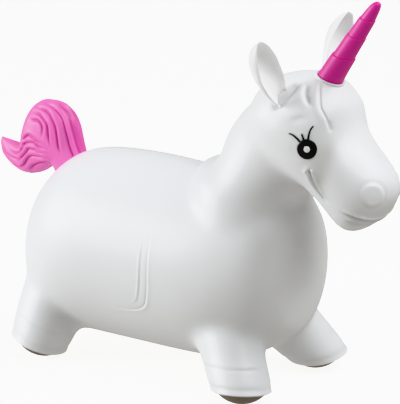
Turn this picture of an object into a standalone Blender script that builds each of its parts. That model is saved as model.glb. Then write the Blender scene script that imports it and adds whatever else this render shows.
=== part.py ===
"""Inflatable hopping unicorn: an air-filled vinyl skin with ears, horn, tail, soles and valve.

Frame: metres, +X towards the muzzle, +Y towards the animal's left side, +Z up, with the
origin on the floor under the middle of the whole animal.

The skin starts as closed lofts for the trunk, the neck, the head and the four stub legs.
They are remeshed into one body and smoothed, which blends the joins as a soft moulding
does. That body, offset inwards by the wall, is the air chamber. Offset outwards by the seat
clearance, it trims every piece that sits on the skin, so each seat follows the body.
"""
import math

import bmesh
import bpy
import numpy as np
from mathutils import Matrix, Vector
from mathutils.bvhtree import BVHTree

# Trunk: a barrel with round ends, its rear end rump_reach behind the origin
trunk_length = 0.407
rump_reach = 0.2290
barrel_height = 0.2450
barrel_width = 0.222
belly_clearance = 0.0230
barrel_squareness = 2.06

# Neck and head, placed from the middle of the chest and from the back
neck_lift = 0.134
neck_depth = 0.158
neck_width = 0.178
head_forward = 0.0785
head_lift = 0.0755
head_length = 0.224
head_depth = 0.147
head_width = 0.138
head_pitch = math.radians(45)
head_centre_share = 0.333

# Legs: stubs that lean outwards from hips inside the barrel; each foot stands an inset
# inside its own end of the trunk
front_foot_inset = 0.0375
rear_foot_inset = 0.0630
front_track = 0.163
rear_track = 0.162
leg_radius = 0.0395
hip_height = 0.078
front_splay_along = 0.72
rear_splay_along = 0.08
splay_out = 0.54

# Soles: domed discs under a rim bead, each turned outwards and away from the middle
sole_rise = 0.0165
sole_share = 0.825
front_sole_roll = math.radians(9)
front_sole_swing = math.radians(4)
rear_sole_roll = math.radians(8)
rear_sole_swing = math.radians(17)
contact_squash = 0.0010
rim_bead_radius = 0.0018

# Skin and fits
skin_wall = 0.0030
seat_clearance = 0.0003
union_overlap = 0.0020
cutter_overrun = 0.0600

# Ears: cupped leaves that stand out of the back of the head and open forwards
ear_length = 0.109
ear_width = 0.045
ear_depth = 0.026
ear_wall = 0.0042
ear_root_out_share = 0.645
ear_root_up_share = 0.175
ear_root_back = -0.0010
ear_lean_out = math.radians(31.5)
ear_lean_forward = math.radians(-1.5)
ear_turn_in = math.radians(4)

# Horn: four tapering cups, one out of the other, on rings that lie flatter than square
horn_length = 0.1235
horn_base_radius = 0.0156
horn_tip_radius = 0.0052
horn_step = 0.0010
horn_lean = math.radians(33)
horn_ring_tilt = math.radians(19)
horn_forward = -0.0055
collar_bead_radius = 0.0015

# Tail: a plume of wavy locks with a flipped tip, seated on the slope of the rump
tail_reach = 0.1400
tail_height = 0.1050
tail_width = 0.046
tail_ahead_of_rump = 0.0730
tail_drop = 0.0190
lock_height = 0.0024
lock_count = 11

# Eyes: a printed disc with three lashes, and a smaller white dot on top
eye_radius = 0.0122
eye_glint_radius = 0.0038
eye_film = 0.0006
lash_width = 0.0021
lash_length = 0.0165
eye_along_share = 0.095
eye_up_share = 0.014
eye_bearing = math.radians(68)

# Valve: boss on the rump, seat through the wall and push-in plug with a pull tab
valve_height = 0.118
boss_radius = 0.0140
boss_height = 0.0026
seat_flange_radius = 0.0105
seat_flange_height = 0.0016
seat_tube_radius = 0.0062
seat_tube_length = 0.0150
bore_radius = 0.0040
plug_head_radius = 0.0088
plug_head_height = 0.0026
plug_stem_length = 0.0180
plug_tip_radius = 0.0030
tab_length = 0.0110
tab_width = 0.0080
tab_height = 0.0018

# Mesh fineness
blend_voxel = 0.0060
blend_passes = 18
skin_faces = 1750
ring_points = 40
slices = 24
bead_sides = 6

# Trunk stations: along the length from the rear, top and bottom over the height, half width
trunk_shares = (
    (0.000, 0.43, 0.43, 0.00),
    (0.006, 0.57, 0.27, 0.22),
    (0.022, 0.67, 0.175, 0.41),
    (0.051, 0.755, 0.100, 0.60),
    (0.092, 0.838, 0.045, 0.77),
    (0.144, 0.912, 0.015, 0.890),
    (0.209, 0.960, 0.002, 0.970),
    (0.307, 0.980, 0.000, 1.000),
    (0.428, 0.987, 0.000, 1.000),
    (0.562, 0.980, 0.000, 1.000),
    (0.684, 0.975, 0.004, 0.990),
    (0.781, 0.975, 0.025, 0.955),
    (0.866, 0.970, 0.075, 0.880),
    (0.927, 0.945, 0.132, 0.785),
    (0.971, 0.890, 0.188, 0.635),
    (0.993, 0.810, 0.258, 0.450),
    (1.000, 0.53, 0.53, 0.00),
)

# Neck stations: forward and up over the lift, half depth, half width, slope in degrees
neck_shares = (
    (0.000, 0.000, 0.00, 0.00, 0),
    (0.000, 0.000, 0.80, 0.80, 0),
    (0.030, 0.090, 1.00, 1.00, 0),
    (0.030, 0.370, 1.00, 1.00, 2),
    (0.030, 0.776, 1.020, 0.90, 24),
    (0.128, 0.993, 0.732, 0.75, 22),
    (0.251, 1.216, 0.822, 0.63, 24),
    (0.390, 1.433, 0.780, 0.60, 28),
    (0.480, 1.580, 0.52, 0.50, 30),
    (0.510, 1.630, 0.00, 0.00, 30),
)

# Head stations: along the length from the back, up and down over the depth, half width
head_shares = (
    (0.018, -0.040, -0.040, 0.00),
    (0.030, 0.035, -0.130, 0.220),
    (0.054, 0.125, -0.220, 0.450),
    (0.093, 0.235, -0.330, 0.660),
    (0.152, 0.345, -0.430, 0.851),
    (0.224, 0.434, -0.460, 0.948),
    (0.324, 0.486, -0.455, 1.000),
    (0.398, 0.488, -0.430, 1.000),
    (0.464, 0.446, -0.385, 0.985),
    (0.520, 0.384, -0.343, 0.955),
    (0.579, 0.348, -0.312, 0.910),
    (0.640, 0.344, -0.292, 0.858),
    (0.747, 0.357, -0.290, 0.790),
    (0.837, 0.360, -0.298, 0.750),
    (0.905, 0.338, -0.298, 0.690),
    (0.958, 0.270, -0.250, 0.560),
    (0.990, 0.150, -0.145, 0.330),
    (1.000, -0.020, -0.020, 0.00),
)

# Leg stations: along the leg from the hip to beyond the rim, radius of a front and a rear leg
leg_shares = (
    (0.00, 0.00, 0.00),
    (0.00, 1.06, 1.12),
    (0.25, 1.04, 1.10),
    (0.50, 1.00, 1.07),
    (0.70, 1.00, 1.04),
    (0.86, 1.02, 1.00),
    (1.00, 0.97, 0.96),
    (1.30, 0.95, 0.95),
    (1.30, 0.00, 0.00),
)

# Ear stations: along the length from the root, width and depth
ear_shares = (
    (0.00, 0.24, 0.32),
    (0.12, 0.46, 0.38),
    (0.26, 0.72, 0.47),
    (0.42, 0.94, 0.64),
    (0.58, 1.00, 0.80),
    (0.72, 0.90, 0.84),
    (0.84, 0.70, 0.70),
    (0.93, 0.46, 0.42),
    (0.98, 0.24, 0.18),
)

# Horn outline: up the length, radius between tip (0) and base (1), steps passed
horn_shares = (
    (0.000, 1.00, 0),
    (0.150, 0.92, 0),
    (0.285, 0.86, 0),
    (0.297, 0.80, 0),
    (0.300, 0.80, 1),
    (0.548, 0.70, 1),
    (0.560, 0.64, 1),
    (0.563, 0.64, 1),
    (0.768, 0.52, 1),
    (0.780, 0.46, 1),
    (0.783, 0.42, 1),
    (0.880, 0.30, 1),
    (0.950, 0.14, 1),
    (0.985, -0.18, 1),
)

# Tail sections: front and top edge, rear and bottom edge (over reach and height), half width
tail_shares = (
    (0.071, -0.252, -0.243, -0.481, 0.50),
    (-0.014, -0.081, -0.336, -0.338, 0.70),
    (-0.068, 0.129, -0.400, -0.224, 0.82),
    (-0.118, 0.367, -0.443, -0.275, 0.92),
    (-0.196, 0.514, -0.489, -0.318, 0.98),
    (-0.304, 0.592, -0.539, -0.350, 1.00),
    (-0.450, 0.595, -0.596, -0.374, 1.00),
    (-0.588, 0.510, -0.654, -0.390, 0.97),
    (-0.658, 0.358, -0.707, -0.392, 0.88),
    (-0.634, 0.186, -0.761, -0.384, 0.74),
    (-0.628, 0.024, -0.811, -0.362, 0.60),
    (-0.725, -0.034, -0.872, -0.326, 0.48),
    (-0.856, -0.019, -0.935, -0.266, 0.40),
    (-0.946, -0.004, -0.990, -0.186, 0.26),
    (-0.999, 0.006, -1.012, -0.090, 0.10),
)

# Lashes: place on the disc in degrees from the front, length over the lash, bend in degrees
lash_shares = (
    (138, 1.00, 38),
    (112, 0.45, 8),
    (86, 1.00, -40),
)


def clear_objects():
    """Empty the file of its objects."""
    for old in list(bpy.data.objects):
        bpy.data.objects.remove(old, do_unlink=True)


def material(name, colour, roughness):
    """A Principled material for one moulded or printed finish."""
    made = bpy.data.materials.new(name)
    made.use_nodes = True
    shader = made.node_tree.nodes["Principled BSDF"]
    shader.inputs["Base Color"].default_value = (*colour, 1)
    shader.inputs["Roughness"].default_value = roughness
    shader.inputs["Metallic"].default_value = 0
    return made


def add_object(name, mesh, finish=None):
    """Put a mesh in the scene: a piece if it has a finish, else a hidden guide that cuts."""
    item = bpy.data.objects.new(name, mesh)
    bpy.context.scene.collection.objects.link(item)
    if finish is None:
        item.hide_render = True
        item.display_type = "WIRE"
    else:
        mesh.materials.clear()
        mesh.materials.append(finish)
    return item


def finish_mesh(name, form):
    """Turn the faces outwards, make the mesh and shade it smooth."""
    bmesh.ops.recalc_face_normals(form, faces=form.faces)
    mesh = bpy.data.meshes.new(name)
    form.to_mesh(mesh)
    form.free()
    mesh.shade_smooth()
    return mesh


def mesh_from_rings(name, rings):
    """Close a loft through rings of points; a ring with no size becomes a pole."""
    form = bmesh.new()
    loops = []
    for ring in rings:
        middle = sum(ring, Vector()) / len(ring)
        if max((point - middle).length for point in ring) == 0:
            loops.append([form.verts.new(middle)])
        else:
            loops.append([form.verts.new(point) for point in ring])
    for lower, upper in zip(loops, loops[1:]):
        count = max(len(lower), len(upper))
        for index in range(count):
            following = (index + 1) % count
            corners = [lower[index % len(lower)], lower[following % len(lower)],
                       upper[following % len(upper)], upper[index % len(upper)]]
            form.faces.new(list(dict.fromkeys(corners)))
    for loop in (loops[0], loops[-1]):
        if len(loop) > 1:
            form.faces.new(loop)
    return finish_mesh(name, form)


def joined(name, meshes):
    """One mesh that holds several closed shells."""
    form = bmesh.new()
    for mesh in meshes:
        form.from_mesh(mesh)
    return finish_mesh(name, form)


def applied(item):
    """The object's mesh with its modifiers applied; the object itself is removed."""
    graph = bpy.context.evaluated_depsgraph_get()
    mesh = bpy.data.meshes.new_from_object(item.evaluated_get(graph))
    bpy.data.objects.remove(item, do_unlink=True)
    return mesh


def offset_mesh(name, mesh, distance):
    """A copy of the mesh with each corner moved along its normal."""
    copy = mesh.copy()
    copy.name = name
    places = np.empty(len(copy.vertices) * 3)
    normals = np.empty(len(copy.vertices) * 3)
    copy.vertices.foreach_get("co", places)
    copy.vertices.foreach_get("normal", normals)
    copy.vertices.foreach_set("co", places + distance * normals)
    copy.update()
    return copy


def boolean(item, other, operation):
    """Cut, join or intersect item with another object."""
    step = item.modifiers.new(other.name, "BOOLEAN")
    step.operation = operation
    step.object = other
    step.solver = "EXACT"


def placed(item, origin, axis, side=None):
    """Turn the object's +Z to axis, its +X as near to side as it goes, and move it."""
    depth = axis.normalized()
    across = (side or ACROSS.cross(depth)).copy()
    across = (across - depth * across.dot(depth)).normalized()
    third = depth.cross(across)
    turn = Matrix((across, third, depth)).transposed()
    item.matrix_world = Matrix.Translation(origin) @ turn.to_4x4()
    return item


def side_point(forward, upward, sideways=0):
    """A point from its place along the animal, its height and its place across."""
    return Vector((forward, sideways, upward))


FORWARD = side_point(1, 0)
ACROSS = side_point(0, 0, 1)
UP = side_point(0, 1)
FEET = [(end, side) for end in (1, -1) for side in (-1, 1)]
SIDES = ((-1, "right"), (1, "left"))
back_height = belly_clearance + barrel_height
sole_radius = sole_share * leg_radius
dome_radius = (sole_radius ** 2 + sole_rise ** 2) / (2 * sole_rise)


def section(centre, up, across, rise, half_width, squareness=2):
    """An oval ring about centre, rise above and below it and half_width to each side."""
    ring = []
    for index in range(ring_points):
        turn = 2 * math.pi * index / ring_points
        sine, cosine = math.sin(turn), math.cos(turn)
        high = math.copysign(abs(sine) ** (2 / squareness), sine)
        wide = math.copysign(abs(cosine) ** (2 / squareness), cosine)
        ring.append(centre + up * (high * rise) + across * (wide * half_width))
    return ring


def trunk_rings():
    """Barrel sections from the rump to the chest."""
    rings = []
    for along, top, bottom, wide in trunk_shares:
        high = belly_clearance + top * barrel_height
        low = belly_clearance + bottom * barrel_height
        centre = side_point(along * trunk_length - rump_reach, (high + low) / 2)
        rings.append(section(centre, UP, ACROSS, (high - low) / 2, wide * barrel_width / 2,
                             barrel_squareness))
    return rings


def chest_middle():
    """The foot of the neck, deep in the chest."""
    chest_x = trunk_length - rump_reach - neck_depth / 2
    return side_point(chest_x, back_height - neck_lift)


def neck_rings():
    """Neck sections that slope more and more forwards towards the head."""
    foot = chest_middle()
    rings = []
    for forward, upward, deep, wide, slope in neck_shares:
        centre = foot + side_point(forward * neck_lift, upward * neck_lift)
        lean = math.radians(slope)
        along = side_point(-math.cos(lean), math.sin(lean))
        rings.append(section(centre, along, ACROSS, deep * neck_depth / 2,
                             wide * neck_width / 2))
    return rings


def head_frame():
    """Middle of the skull, the way the head points and the way its forehead faces."""
    middle = side_point(chest_middle().x + head_forward, back_height + head_lift)
    forward = side_point(math.cos(head_pitch), -math.sin(head_pitch))
    crown = side_point(math.sin(head_pitch), math.cos(head_pitch))
    return middle, forward, crown


def head_rings():
    """Head sections from the back of the skull to the muzzle."""
    middle, forward, crown = head_frame()
    rings = []
    for along, high, low, wide in head_shares:
        centre = middle + forward * ((along - head_centre_share) * head_length)
        centre = centre + crown * ((high + low) / 2 * head_depth)
        rings.append(section(centre, crown, ACROSS, (high - low) / 2 * head_depth,
                             wide * head_width / 2))
    return rings


def foot_frame(end, side):
    """Middle of a foot's rim and the way its sole faces, from the point where it stands."""
    if end > 0:
        contact_x = trunk_length - rump_reach - front_foot_inset
        track, roll, swing = front_track, front_sole_roll, front_sole_swing
    else:
        contact_x = rear_foot_inset - rump_reach
        track, roll, swing = rear_track, rear_sole_roll, rear_sole_swing
    facing = side_point(end * math.sin(swing), -math.cos(swing) * math.cos(roll),
                        side * math.cos(swing) * math.sin(roll))
    dome_middle = side_point(contact_x, dome_radius - contact_squash, side * track / 2)
    return dome_middle + facing * (dome_radius - sole_rise), facing


def leg_rings(end, side):
    """Round sections from the hip to just past the rim of the foot."""
    rim, facing = foot_frame(end, side)
    rise = hip_height - rim.z
    splay_along = front_splay_along if end > 0 else rear_splay_along
    hip = rim + side_point(-end * splay_along * rise, rise, -side * splay_out * rise)
    rings = []
    for along, front_wide, rear_wide in leg_shares:
        centre = hip.lerp(rim, along)
        axis = (rim - hip).normalized().lerp(facing, min(along, 1)).normalized()
        forward = axis.cross(ACROSS).normalized()
        outward = forward.cross(axis).normalized()
        size = (front_wide if end > 0 else rear_wide) * leg_radius
        rings.append(section(centre, forward, outward, size, size))
    return rings


def filled_body():
    """The whole animal as one filled, smoothly blended body with even faces."""
    shells = [mesh_from_rings("trunk", trunk_rings()), mesh_from_rings("neck", neck_rings()),
              mesh_from_rings("head", head_rings())]
    shells.extend(mesh_from_rings("leg", leg_rings(end, side)) for end, side in FEET)
    lofts = add_object("body_lofts", joined("body_lofts", shells))
    blend = lofts.modifiers.new("one body", "REMESH")
    blend.mode = "VOXEL"
    blend.voxel_size = blend_voxel
    soften = lofts.modifiers.new("soft joins", "SMOOTH")
    soften.factor = 0.5
    soften.iterations = blend_passes
    fine = add_object("body_fine", applied(lofts))
    even = add_object("body_even", fine.data.copy())
    bpy.context.view_layer.objects.active = even
    even.select_set(True)
    bpy.ops.object.quadriflow_remesh(mode="FACES", target_faces=skin_faces)
    wrap = even.modifiers.new("on the fine body", "SHRINKWRAP")
    wrap.target = fine
    even.modifiers.new("triangles", "TRIANGULATE")
    return applied(even)


def turned(name, outline, tilt=0):
    """Turn an outline of (radius, height) points about Z; tilt slopes its rings along X."""
    rings = []
    for radius, height in outline:
        ring = []
        for index in range(slices):
            turn = 2 * math.pi * index / slices
            forward = radius * math.cos(turn)
            rise = height + forward * math.tan(tilt)
            ring.append(side_point(forward, rise, radius * math.sin(turn)))
        rings.append(ring)
    return mesh_from_rings(name, rings)


def bead_mesh(name, spots):
    """A round bead through (middle, outward, upward) spots, the last vectors its radii."""
    form = bmesh.new()
    loops = []
    for middle, outward, upward in spots:
        loop = []
        for step in range(bead_sides):
            roll = 2 * math.pi * (step + 1 / 2) / bead_sides
            loop.append(form.verts.new(middle + outward * math.cos(roll)
                                       + upward * math.sin(roll)))
        loops.append(loop)
    for this, following in zip(loops, loops[1:] + loops[:1]):
        for step in range(bead_sides):
            ahead = (step + 1) % bead_sides
            form.faces.new((this[step], this[ahead], following[ahead], following[step]))
    return finish_mesh(name, form)


def rim_bead(name, end, side):
    """The bead round a sole, half sunk in the flat end of the foot."""
    spots = []
    for index in range(slices):
        turn = 2 * math.pi * index / slices
        out = side_point(math.cos(turn), 0, math.sin(turn))
        spots.append((out * (sole_radius + rim_bead_radius), out * rim_bead_radius,
                      UP * rim_bead_radius))
    rim, facing = foot_frame(end, side)
    return placed(add_object(name, bead_mesh(name, spots)), rim, facing)


def horn_collar(tree, seat, axis):
    """A bead that lies on the forehead all round the foot of the horn."""
    across = ACROSS.cross(axis)
    reach = horn_base_radius + seat_clearance + collar_bead_radius
    spots = []
    for index in range(slices):
        turn = 2 * math.pi * index / slices
        out = across * math.cos(turn) + ACROSS * math.sin(turn)
        above = seat + out * reach + axis * cutter_overrun
        middle = tree.ray_cast(above, -axis)[0]
        spots.append((middle, out * collar_bead_radius, axis * collar_bead_radius))
    return add_object("horn_collar", bead_mesh("horn_collar", spots))


def sole_block(name, end, side, lift):
    """A block under a foot's rim, moved up into the foot by lift."""
    rim, facing = foot_frame(end, side)
    reach = 3 * leg_radius / 2
    outline = ((0, 0), (reach, 0), (reach, cutter_overrun), (0, cutter_overrun))
    block = add_object(name, turned(name, outline))
    return placed(block, rim - facing * lift, facing)


def make_skin(body, white, additions, bore):
    """The wall: the body cut flat at the soles, with its beads, less the air chamber."""
    skin = add_object("body_skin", body.copy(), white)
    chamber = add_object("air_chamber", offset_mesh("air_chamber", body, -skin_wall))
    for number, (end, side) in enumerate(FEET):
        boolean(skin, sole_block(f"sole_cut_{number}", end, side, 0), "DIFFERENCE")
        inner = sole_block(f"chamber_cut_{number}", end, side, skin_wall)
        boolean(chamber, inner, "DIFFERENCE")
        boolean(skin, rim_bead(f"rim_bead_{number}", end, side), "UNION")
    for addition in additions:
        boolean(skin, addition, "UNION")
    boolean(skin, chamber, "DIFFERENCE")
    boolean(skin, bore, "DIFFERENCE")
    weld = skin.modifiers.new("one point per corner", "WELD")
    weld.merge_threshold = seat_clearance / 100


def make_sole(name, end, side, finish):
    """A domed pad under a foot, flattened where it stands."""
    rim, facing = foot_frame(end, side)
    edge = sole_radius - seat_clearance
    sweep = math.asin(edge / dome_radius)
    steps = 5
    outline = [(0, seat_clearance), (edge, seat_clearance)]
    for index in range(steps + 1):
        turn = sweep * (1 - index / steps)
        depth = sole_rise - dome_radius * (1 - math.cos(turn))
        outline.append((dome_radius * math.sin(turn), max(depth, 2 * seat_clearance)))
    sole = placed(add_object(name, turned(name, outline), finish), rim, facing)
    floor_outline = ((0, -cutter_overrun), (cutter_overrun, -cutter_overrun),
                     (cutter_overrun, 0), (0, 0))
    floor = add_object(f"{name}_floor", turned(f"{name}_floor", floor_outline))
    floor.location = (rim.x, rim.y, 0)
    boolean(sole, floor, "DIFFERENCE")


def ear_mesh(name, side):
    """A cup that opens towards +X: half rings outside, smaller ones inside."""
    half = 10
    rings = []
    for along, wide, deep in ear_shares:
        height = along * ear_length
        width = wide * ear_width / 2
        depth = deep * ear_depth
        inner_width = max(width - ear_wall, width / 4)
        inner_depth = max(depth - ear_wall, depth / 4)
        ring = []
        for index in range(half + 1):
            turn = math.pi * index / half
            ring.append(side_point(-depth * math.sin(turn), height,
                                   side * width * math.cos(turn)))
        for index in range(half + 1):
            turn = math.pi * (half - index) / half
            ring.append(side_point(-inner_depth * math.sin(turn), height,
                                   side * inner_width * math.cos(turn)))
        rings.append(ring)
    return mesh_from_rings(name, rings)


def make_ear(name, side, finish, trim):
    """An ear rooted in the head, leaning outwards, cut where it meets the skin."""
    middle = head_frame()[0]
    root = middle + side_point(-ear_root_back, ear_root_up_share * head_depth,
                               side * ear_root_out_share * head_width / 2)
    axis = side_point(math.sin(ear_lean_forward), math.cos(ear_lean_out),
                      side * math.sin(ear_lean_out))
    opening = side_point(math.cos(ear_turn_in), 0, -side * math.sin(ear_turn_in))
    ear = placed(add_object(name, ear_mesh(name, side), finish), root, axis, opening)
    boolean(ear, trim, "DIFFERENCE")


def horn_outline():
    """Radius and height up the horn, each cup starting one step inside the last."""
    outline = [(0, -horn_base_radius), (horn_base_radius, -horn_base_radius)]
    span = horn_base_radius - horn_tip_radius
    for along, wide, steps in horn_shares:
        outline.append((horn_tip_radius + wide * span - steps * horn_step,
                        along * horn_length))
    outline.append((0, horn_length))
    return outline


def make_horn(tree, finish, trim):
    """The horn on the forehead and the collar that stands round its foot."""
    axis = side_point(math.sin(horn_lean), math.cos(horn_lean))
    start = head_frame()[0] + side_point(horn_forward, 0)
    seat = tree.ray_cast(start, axis)[0]
    horn = add_object("horn", turned("horn", horn_outline(), horn_ring_tilt), finish)
    placed(horn, seat, axis, FORWARD)
    boolean(horn, trim, "DIFFERENCE")
    return horn_collar(tree, seat, axis)


def tail_mesh():
    """A fan of oval sections with locks that run along it from the root to the tip."""
    foot = side_point(tail_ahead_of_rump - rump_reach, back_height - tail_drop)
    rings = []
    for front_x, front_z, rear_x, rear_z, wide in tail_shares:
        front = foot + side_point(front_x * tail_reach, front_z * tail_height)
        rear = foot + side_point(rear_x * tail_reach, rear_z * tail_height)
        centre = (front + rear) / 2
        spread = (front - rear) / 2
        ring = []
        for index in range(ring_points):
            turn = 2 * math.pi * index / ring_points
            ridge = lock_height * wide * (abs(math.cos(lock_count * turn / 2)) - 1)
            swell = 1 + ridge / spread.length
            side = wide * tail_width / 2 + ridge
            ring.append(centre + spread * (math.cos(turn) * swell)
                        + ACROSS * (side * math.sin(turn)))
        rings.append(ring)
    return mesh_from_rings("tail", rings)


def eye_outline():
    """The disc's edge with the lashes standing out of it, as one closed line."""
    steps = 36
    half_angle = math.asin(lash_width / (2 * eye_radius))
    stops = [(math.radians(place), long, math.radians(bend))
             for place, long, bend in lash_shares]
    for index in range(steps):
        turn = 2 * math.pi * index / steps
        if all(abs(turn - place) > half_angle * 1.6 for place, long, bend in stops if long):
            stops.append((turn, 0, 0))
    points = []
    for turn, long, bend in sorted(stops):
        if long:
            points.extend(lash_points(turn, long, bend))
        else:
            points.append((eye_radius * math.cos(turn), eye_radius * math.sin(turn)))
    return points


def lash_points(place, long, bend):
    """One lash: up one side, round the thin tip and down the other."""
    steps = 5
    foot = math.sqrt(eye_radius ** 2 - lash_width ** 2 / 4)
    spot = Vector((math.cos(place), math.sin(place))) * foot
    right, left = [], []
    for index in range(steps + 1):
        share = index / steps
        heading = place + bend * share
        ahead = Vector((math.cos(heading), math.sin(heading)))
        beside = Vector((-ahead.y, ahead.x)) * (lash_width / 2 * (1 - 0.55 * share))
        right.append(tuple(spot - beside))
        left.insert(0, tuple(spot + beside))
        spot = spot + ahead * (long * lash_length / steps)
    return right + left


def prism(name, points, half_height):
    """A flat outline made solid, half_height above and below its plane."""
    return mesh_from_rings(name, [[side_point(x, height, y) for x, y in points]
                                  for height in (-half_height, half_height)])


def make_print(name, finish, spot, points, skins):
    """A thin film that lies on the skin inside a flat outline."""
    film = add_object(name, prism(name, points, cutter_overrun / 4), finish)
    placed(film, spot[0], spot[1], FORWARD)
    boolean(film, skins[1], "INTERSECT")
    boolean(film, skins[0], "DIFFERENCE")


def make_eyes(body, tree, black, glint):
    """On each side the printed disc with its lashes, and the dot printed over it."""
    middle, forward, crown = head_frame()
    start = middle + forward * (eye_along_share * head_length)
    start = start + crown * (eye_up_share * head_depth)
    levels = (seat_clearance, seat_clearance + eye_film,
              2 * seat_clearance + eye_film, 2 * seat_clearance + 2 * eye_film)
    skins = [add_object(f"print_level_{number}", offset_mesh("print_level", body, level))
             for number, level in enumerate(levels)]
    steps = 16
    dot = [(eye_glint_radius * math.cos(2 * math.pi * index / steps),
            eye_glint_radius * math.sin(2 * math.pi * index / steps))
           for index in range(steps)]
    for side, side_name in SIDES:
        aim = side_point(math.cos(eye_bearing), 0, side * math.sin(eye_bearing))
        spot = tree.ray_cast(start, aim)[:2]
        outline = [(x, -side * y) for x, y in eye_outline()]
        make_print(f"eye_print_{side_name}", black, spot, outline, skins[:2])
        make_print(f"eye_glint_{side_name}", glint, spot, dot, skins[2:])


def make_valve(tree, white):
    """The soft seat and the plug on the rump; gives the skin's boss and its bore."""
    out = -FORWARD
    place = tree.ray_cast(side_point(0, valve_height), out)[0]

    boss_outline = ((0, -2 * skin_wall), (boss_radius, -2 * skin_wall),
                    (boss_radius, boss_height), (0, boss_height))
    boss = placed(add_object("valve_boss", turned("valve_boss", boss_outline)), place, out)
    hole = seat_tube_radius + seat_clearance
    bore_outline = ((0, -cutter_overrun), (hole, -cutter_overrun),
                    (hole, cutter_overrun), (0, cutter_overrun))
    bore = placed(add_object("valve_bore", turned("valve_bore", bore_outline)), place, out)

    face = boss_height + seat_clearance
    top = face + seat_flange_height
    seat_outline = ((bore_radius, face - seat_tube_length),
                    (seat_tube_radius, face - seat_tube_length), (seat_tube_radius, face),
                    (seat_flange_radius, face), (seat_flange_radius, top), (bore_radius, top))
    placed(add_object("valve_seat", sleeve("valve_seat", seat_outline), white), place, out)

    head = top + seat_clearance
    stem = bore_radius - seat_clearance
    tip = head - plug_stem_length
    plug_outline = ((0, tip), (plug_tip_radius, tip), (stem, (head + tip) / 2), (stem, head),
                    (plug_head_radius, head), (plug_head_radius, head + plug_head_height),
                    (0, head + plug_head_height))
    plug = add_object("valve_plug", turned("valve_plug", plug_outline), white)
    placed(plug, place, out)
    boolean(plug, pull_tab(place + out * (head + plug_head_height - union_overlap), out),
            "UNION")
    return boss, bore


def sleeve(name, outline):
    """Turn a closed outline of (radius, height) points about Z into a hollow ring."""
    form = bmesh.new()
    loops = []
    for index in range(slices):
        turn = 2 * math.pi * index / slices
        loops.append([form.verts.new(side_point(radius * math.cos(turn), height,
                                                radius * math.sin(turn)))
                      for radius, height in outline])
    for this, following in zip(loops, loops[1:] + loops[:1]):
        for step in range(len(outline)):
            ahead = (step + 1) % len(outline)
            form.faces.new((this[step], this[ahead], following[ahead], following[step]))
    return finish_mesh(name, form)


def pull_tab(foot, out):
    """A flat tab with a round end that stands out of the plug's head."""
    steps = 8
    half = tab_width / 2
    points = [(0, -half)]
    for index in range(steps + 1):
        turn = math.pi * (index / steps - 1 / 2)
        points.append((tab_length - half + half * math.cos(turn), half * math.sin(turn)))
    points.append((0, half))
    tab = add_object("pull_tab", prism("pull_tab", points, tab_height / 2))
    return placed(tab, foot, UP, out)


def build():
    """Make every piece in its place."""
    clear_objects()
    white = material("white_vinyl", (0.86, 0.86, 0.88), 0.42)
    pink = material("pink_vinyl", (0.86, 0.12, 0.50), 0.35)
    brown = material("brown_sole", (0.24, 0.21, 0.18), 0.6)
    black = material("black_print", (0.01, 0.01, 0.012), 0.3)
    glint = material("white_print", (0.9, 0.9, 0.92), 0.3)

    body = filled_body()
    tree = BVHTree.FromPolygons([tuple(vertex.co) for vertex in body.vertices],
                                [tuple(face.vertices) for face in body.polygons])
    trim = add_object("seat_trim", offset_mesh("seat_trim", body, seat_clearance))

    collar = make_horn(tree, pink, trim)
    boss, bore = make_valve(tree, white)
    make_skin(body, white, (collar, boss), bore)
    for end, side in FEET:
        end_name = "front" if end > 0 else "rear"
        side_name = dict(SIDES)[side]
        make_sole(f"sole_{end_name}_{side_name}", end, side, brown)
    for side, side_name in SIDES:
        make_ear(f"ear_{side_name}", side, white, trim)
    tail = add_object("tail", tail_mesh(), pink)
    boolean(tail, trim, "DIFFERENCE")
    make_eyes(body, tree, black, glint)


build()
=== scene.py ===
"""Looks of the inflatable hopping unicorn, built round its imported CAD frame.

Everything is in metres, +X towards the muzzle, +Y towards the animal's left side, +Z up.
The skin is one soft body with creases and ridges pressed into it. The ears, horn, tail, soles,
eyes and valve are surfaces worked out on grids, each on the place of its CAD node.
"""
import math

import bmesh
import bpy
import numpy as np
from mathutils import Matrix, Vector
from mathutils.bvhtree import BVHTree


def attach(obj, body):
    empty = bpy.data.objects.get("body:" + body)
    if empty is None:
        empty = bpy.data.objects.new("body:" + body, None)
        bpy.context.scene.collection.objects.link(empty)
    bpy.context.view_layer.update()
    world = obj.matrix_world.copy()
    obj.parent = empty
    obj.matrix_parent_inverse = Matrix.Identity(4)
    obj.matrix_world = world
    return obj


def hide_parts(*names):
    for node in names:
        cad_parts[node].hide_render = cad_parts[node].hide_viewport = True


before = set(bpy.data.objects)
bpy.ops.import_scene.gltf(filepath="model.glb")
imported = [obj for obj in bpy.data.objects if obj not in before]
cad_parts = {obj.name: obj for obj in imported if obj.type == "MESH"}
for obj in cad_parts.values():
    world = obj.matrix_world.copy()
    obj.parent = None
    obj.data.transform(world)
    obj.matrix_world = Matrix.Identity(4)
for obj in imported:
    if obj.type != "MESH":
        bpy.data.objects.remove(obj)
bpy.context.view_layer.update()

# Trunk, neck and head, as in the part's source
trunk_length = 0.407
rump_reach = 0.2290
barrel_height = 0.2450
barrel_width = 0.222
belly_clearance = 0.0230
barrel_squareness = 2.06
neck_lift = 0.134
neck_depth = 0.158
neck_width = 0.178
head_forward = 0.0785
head_lift = 0.0755
head_length = 0.224
head_depth = 0.147
head_width = 0.138
head_pitch = math.radians(45)
head_centre_share = 0.333

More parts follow.
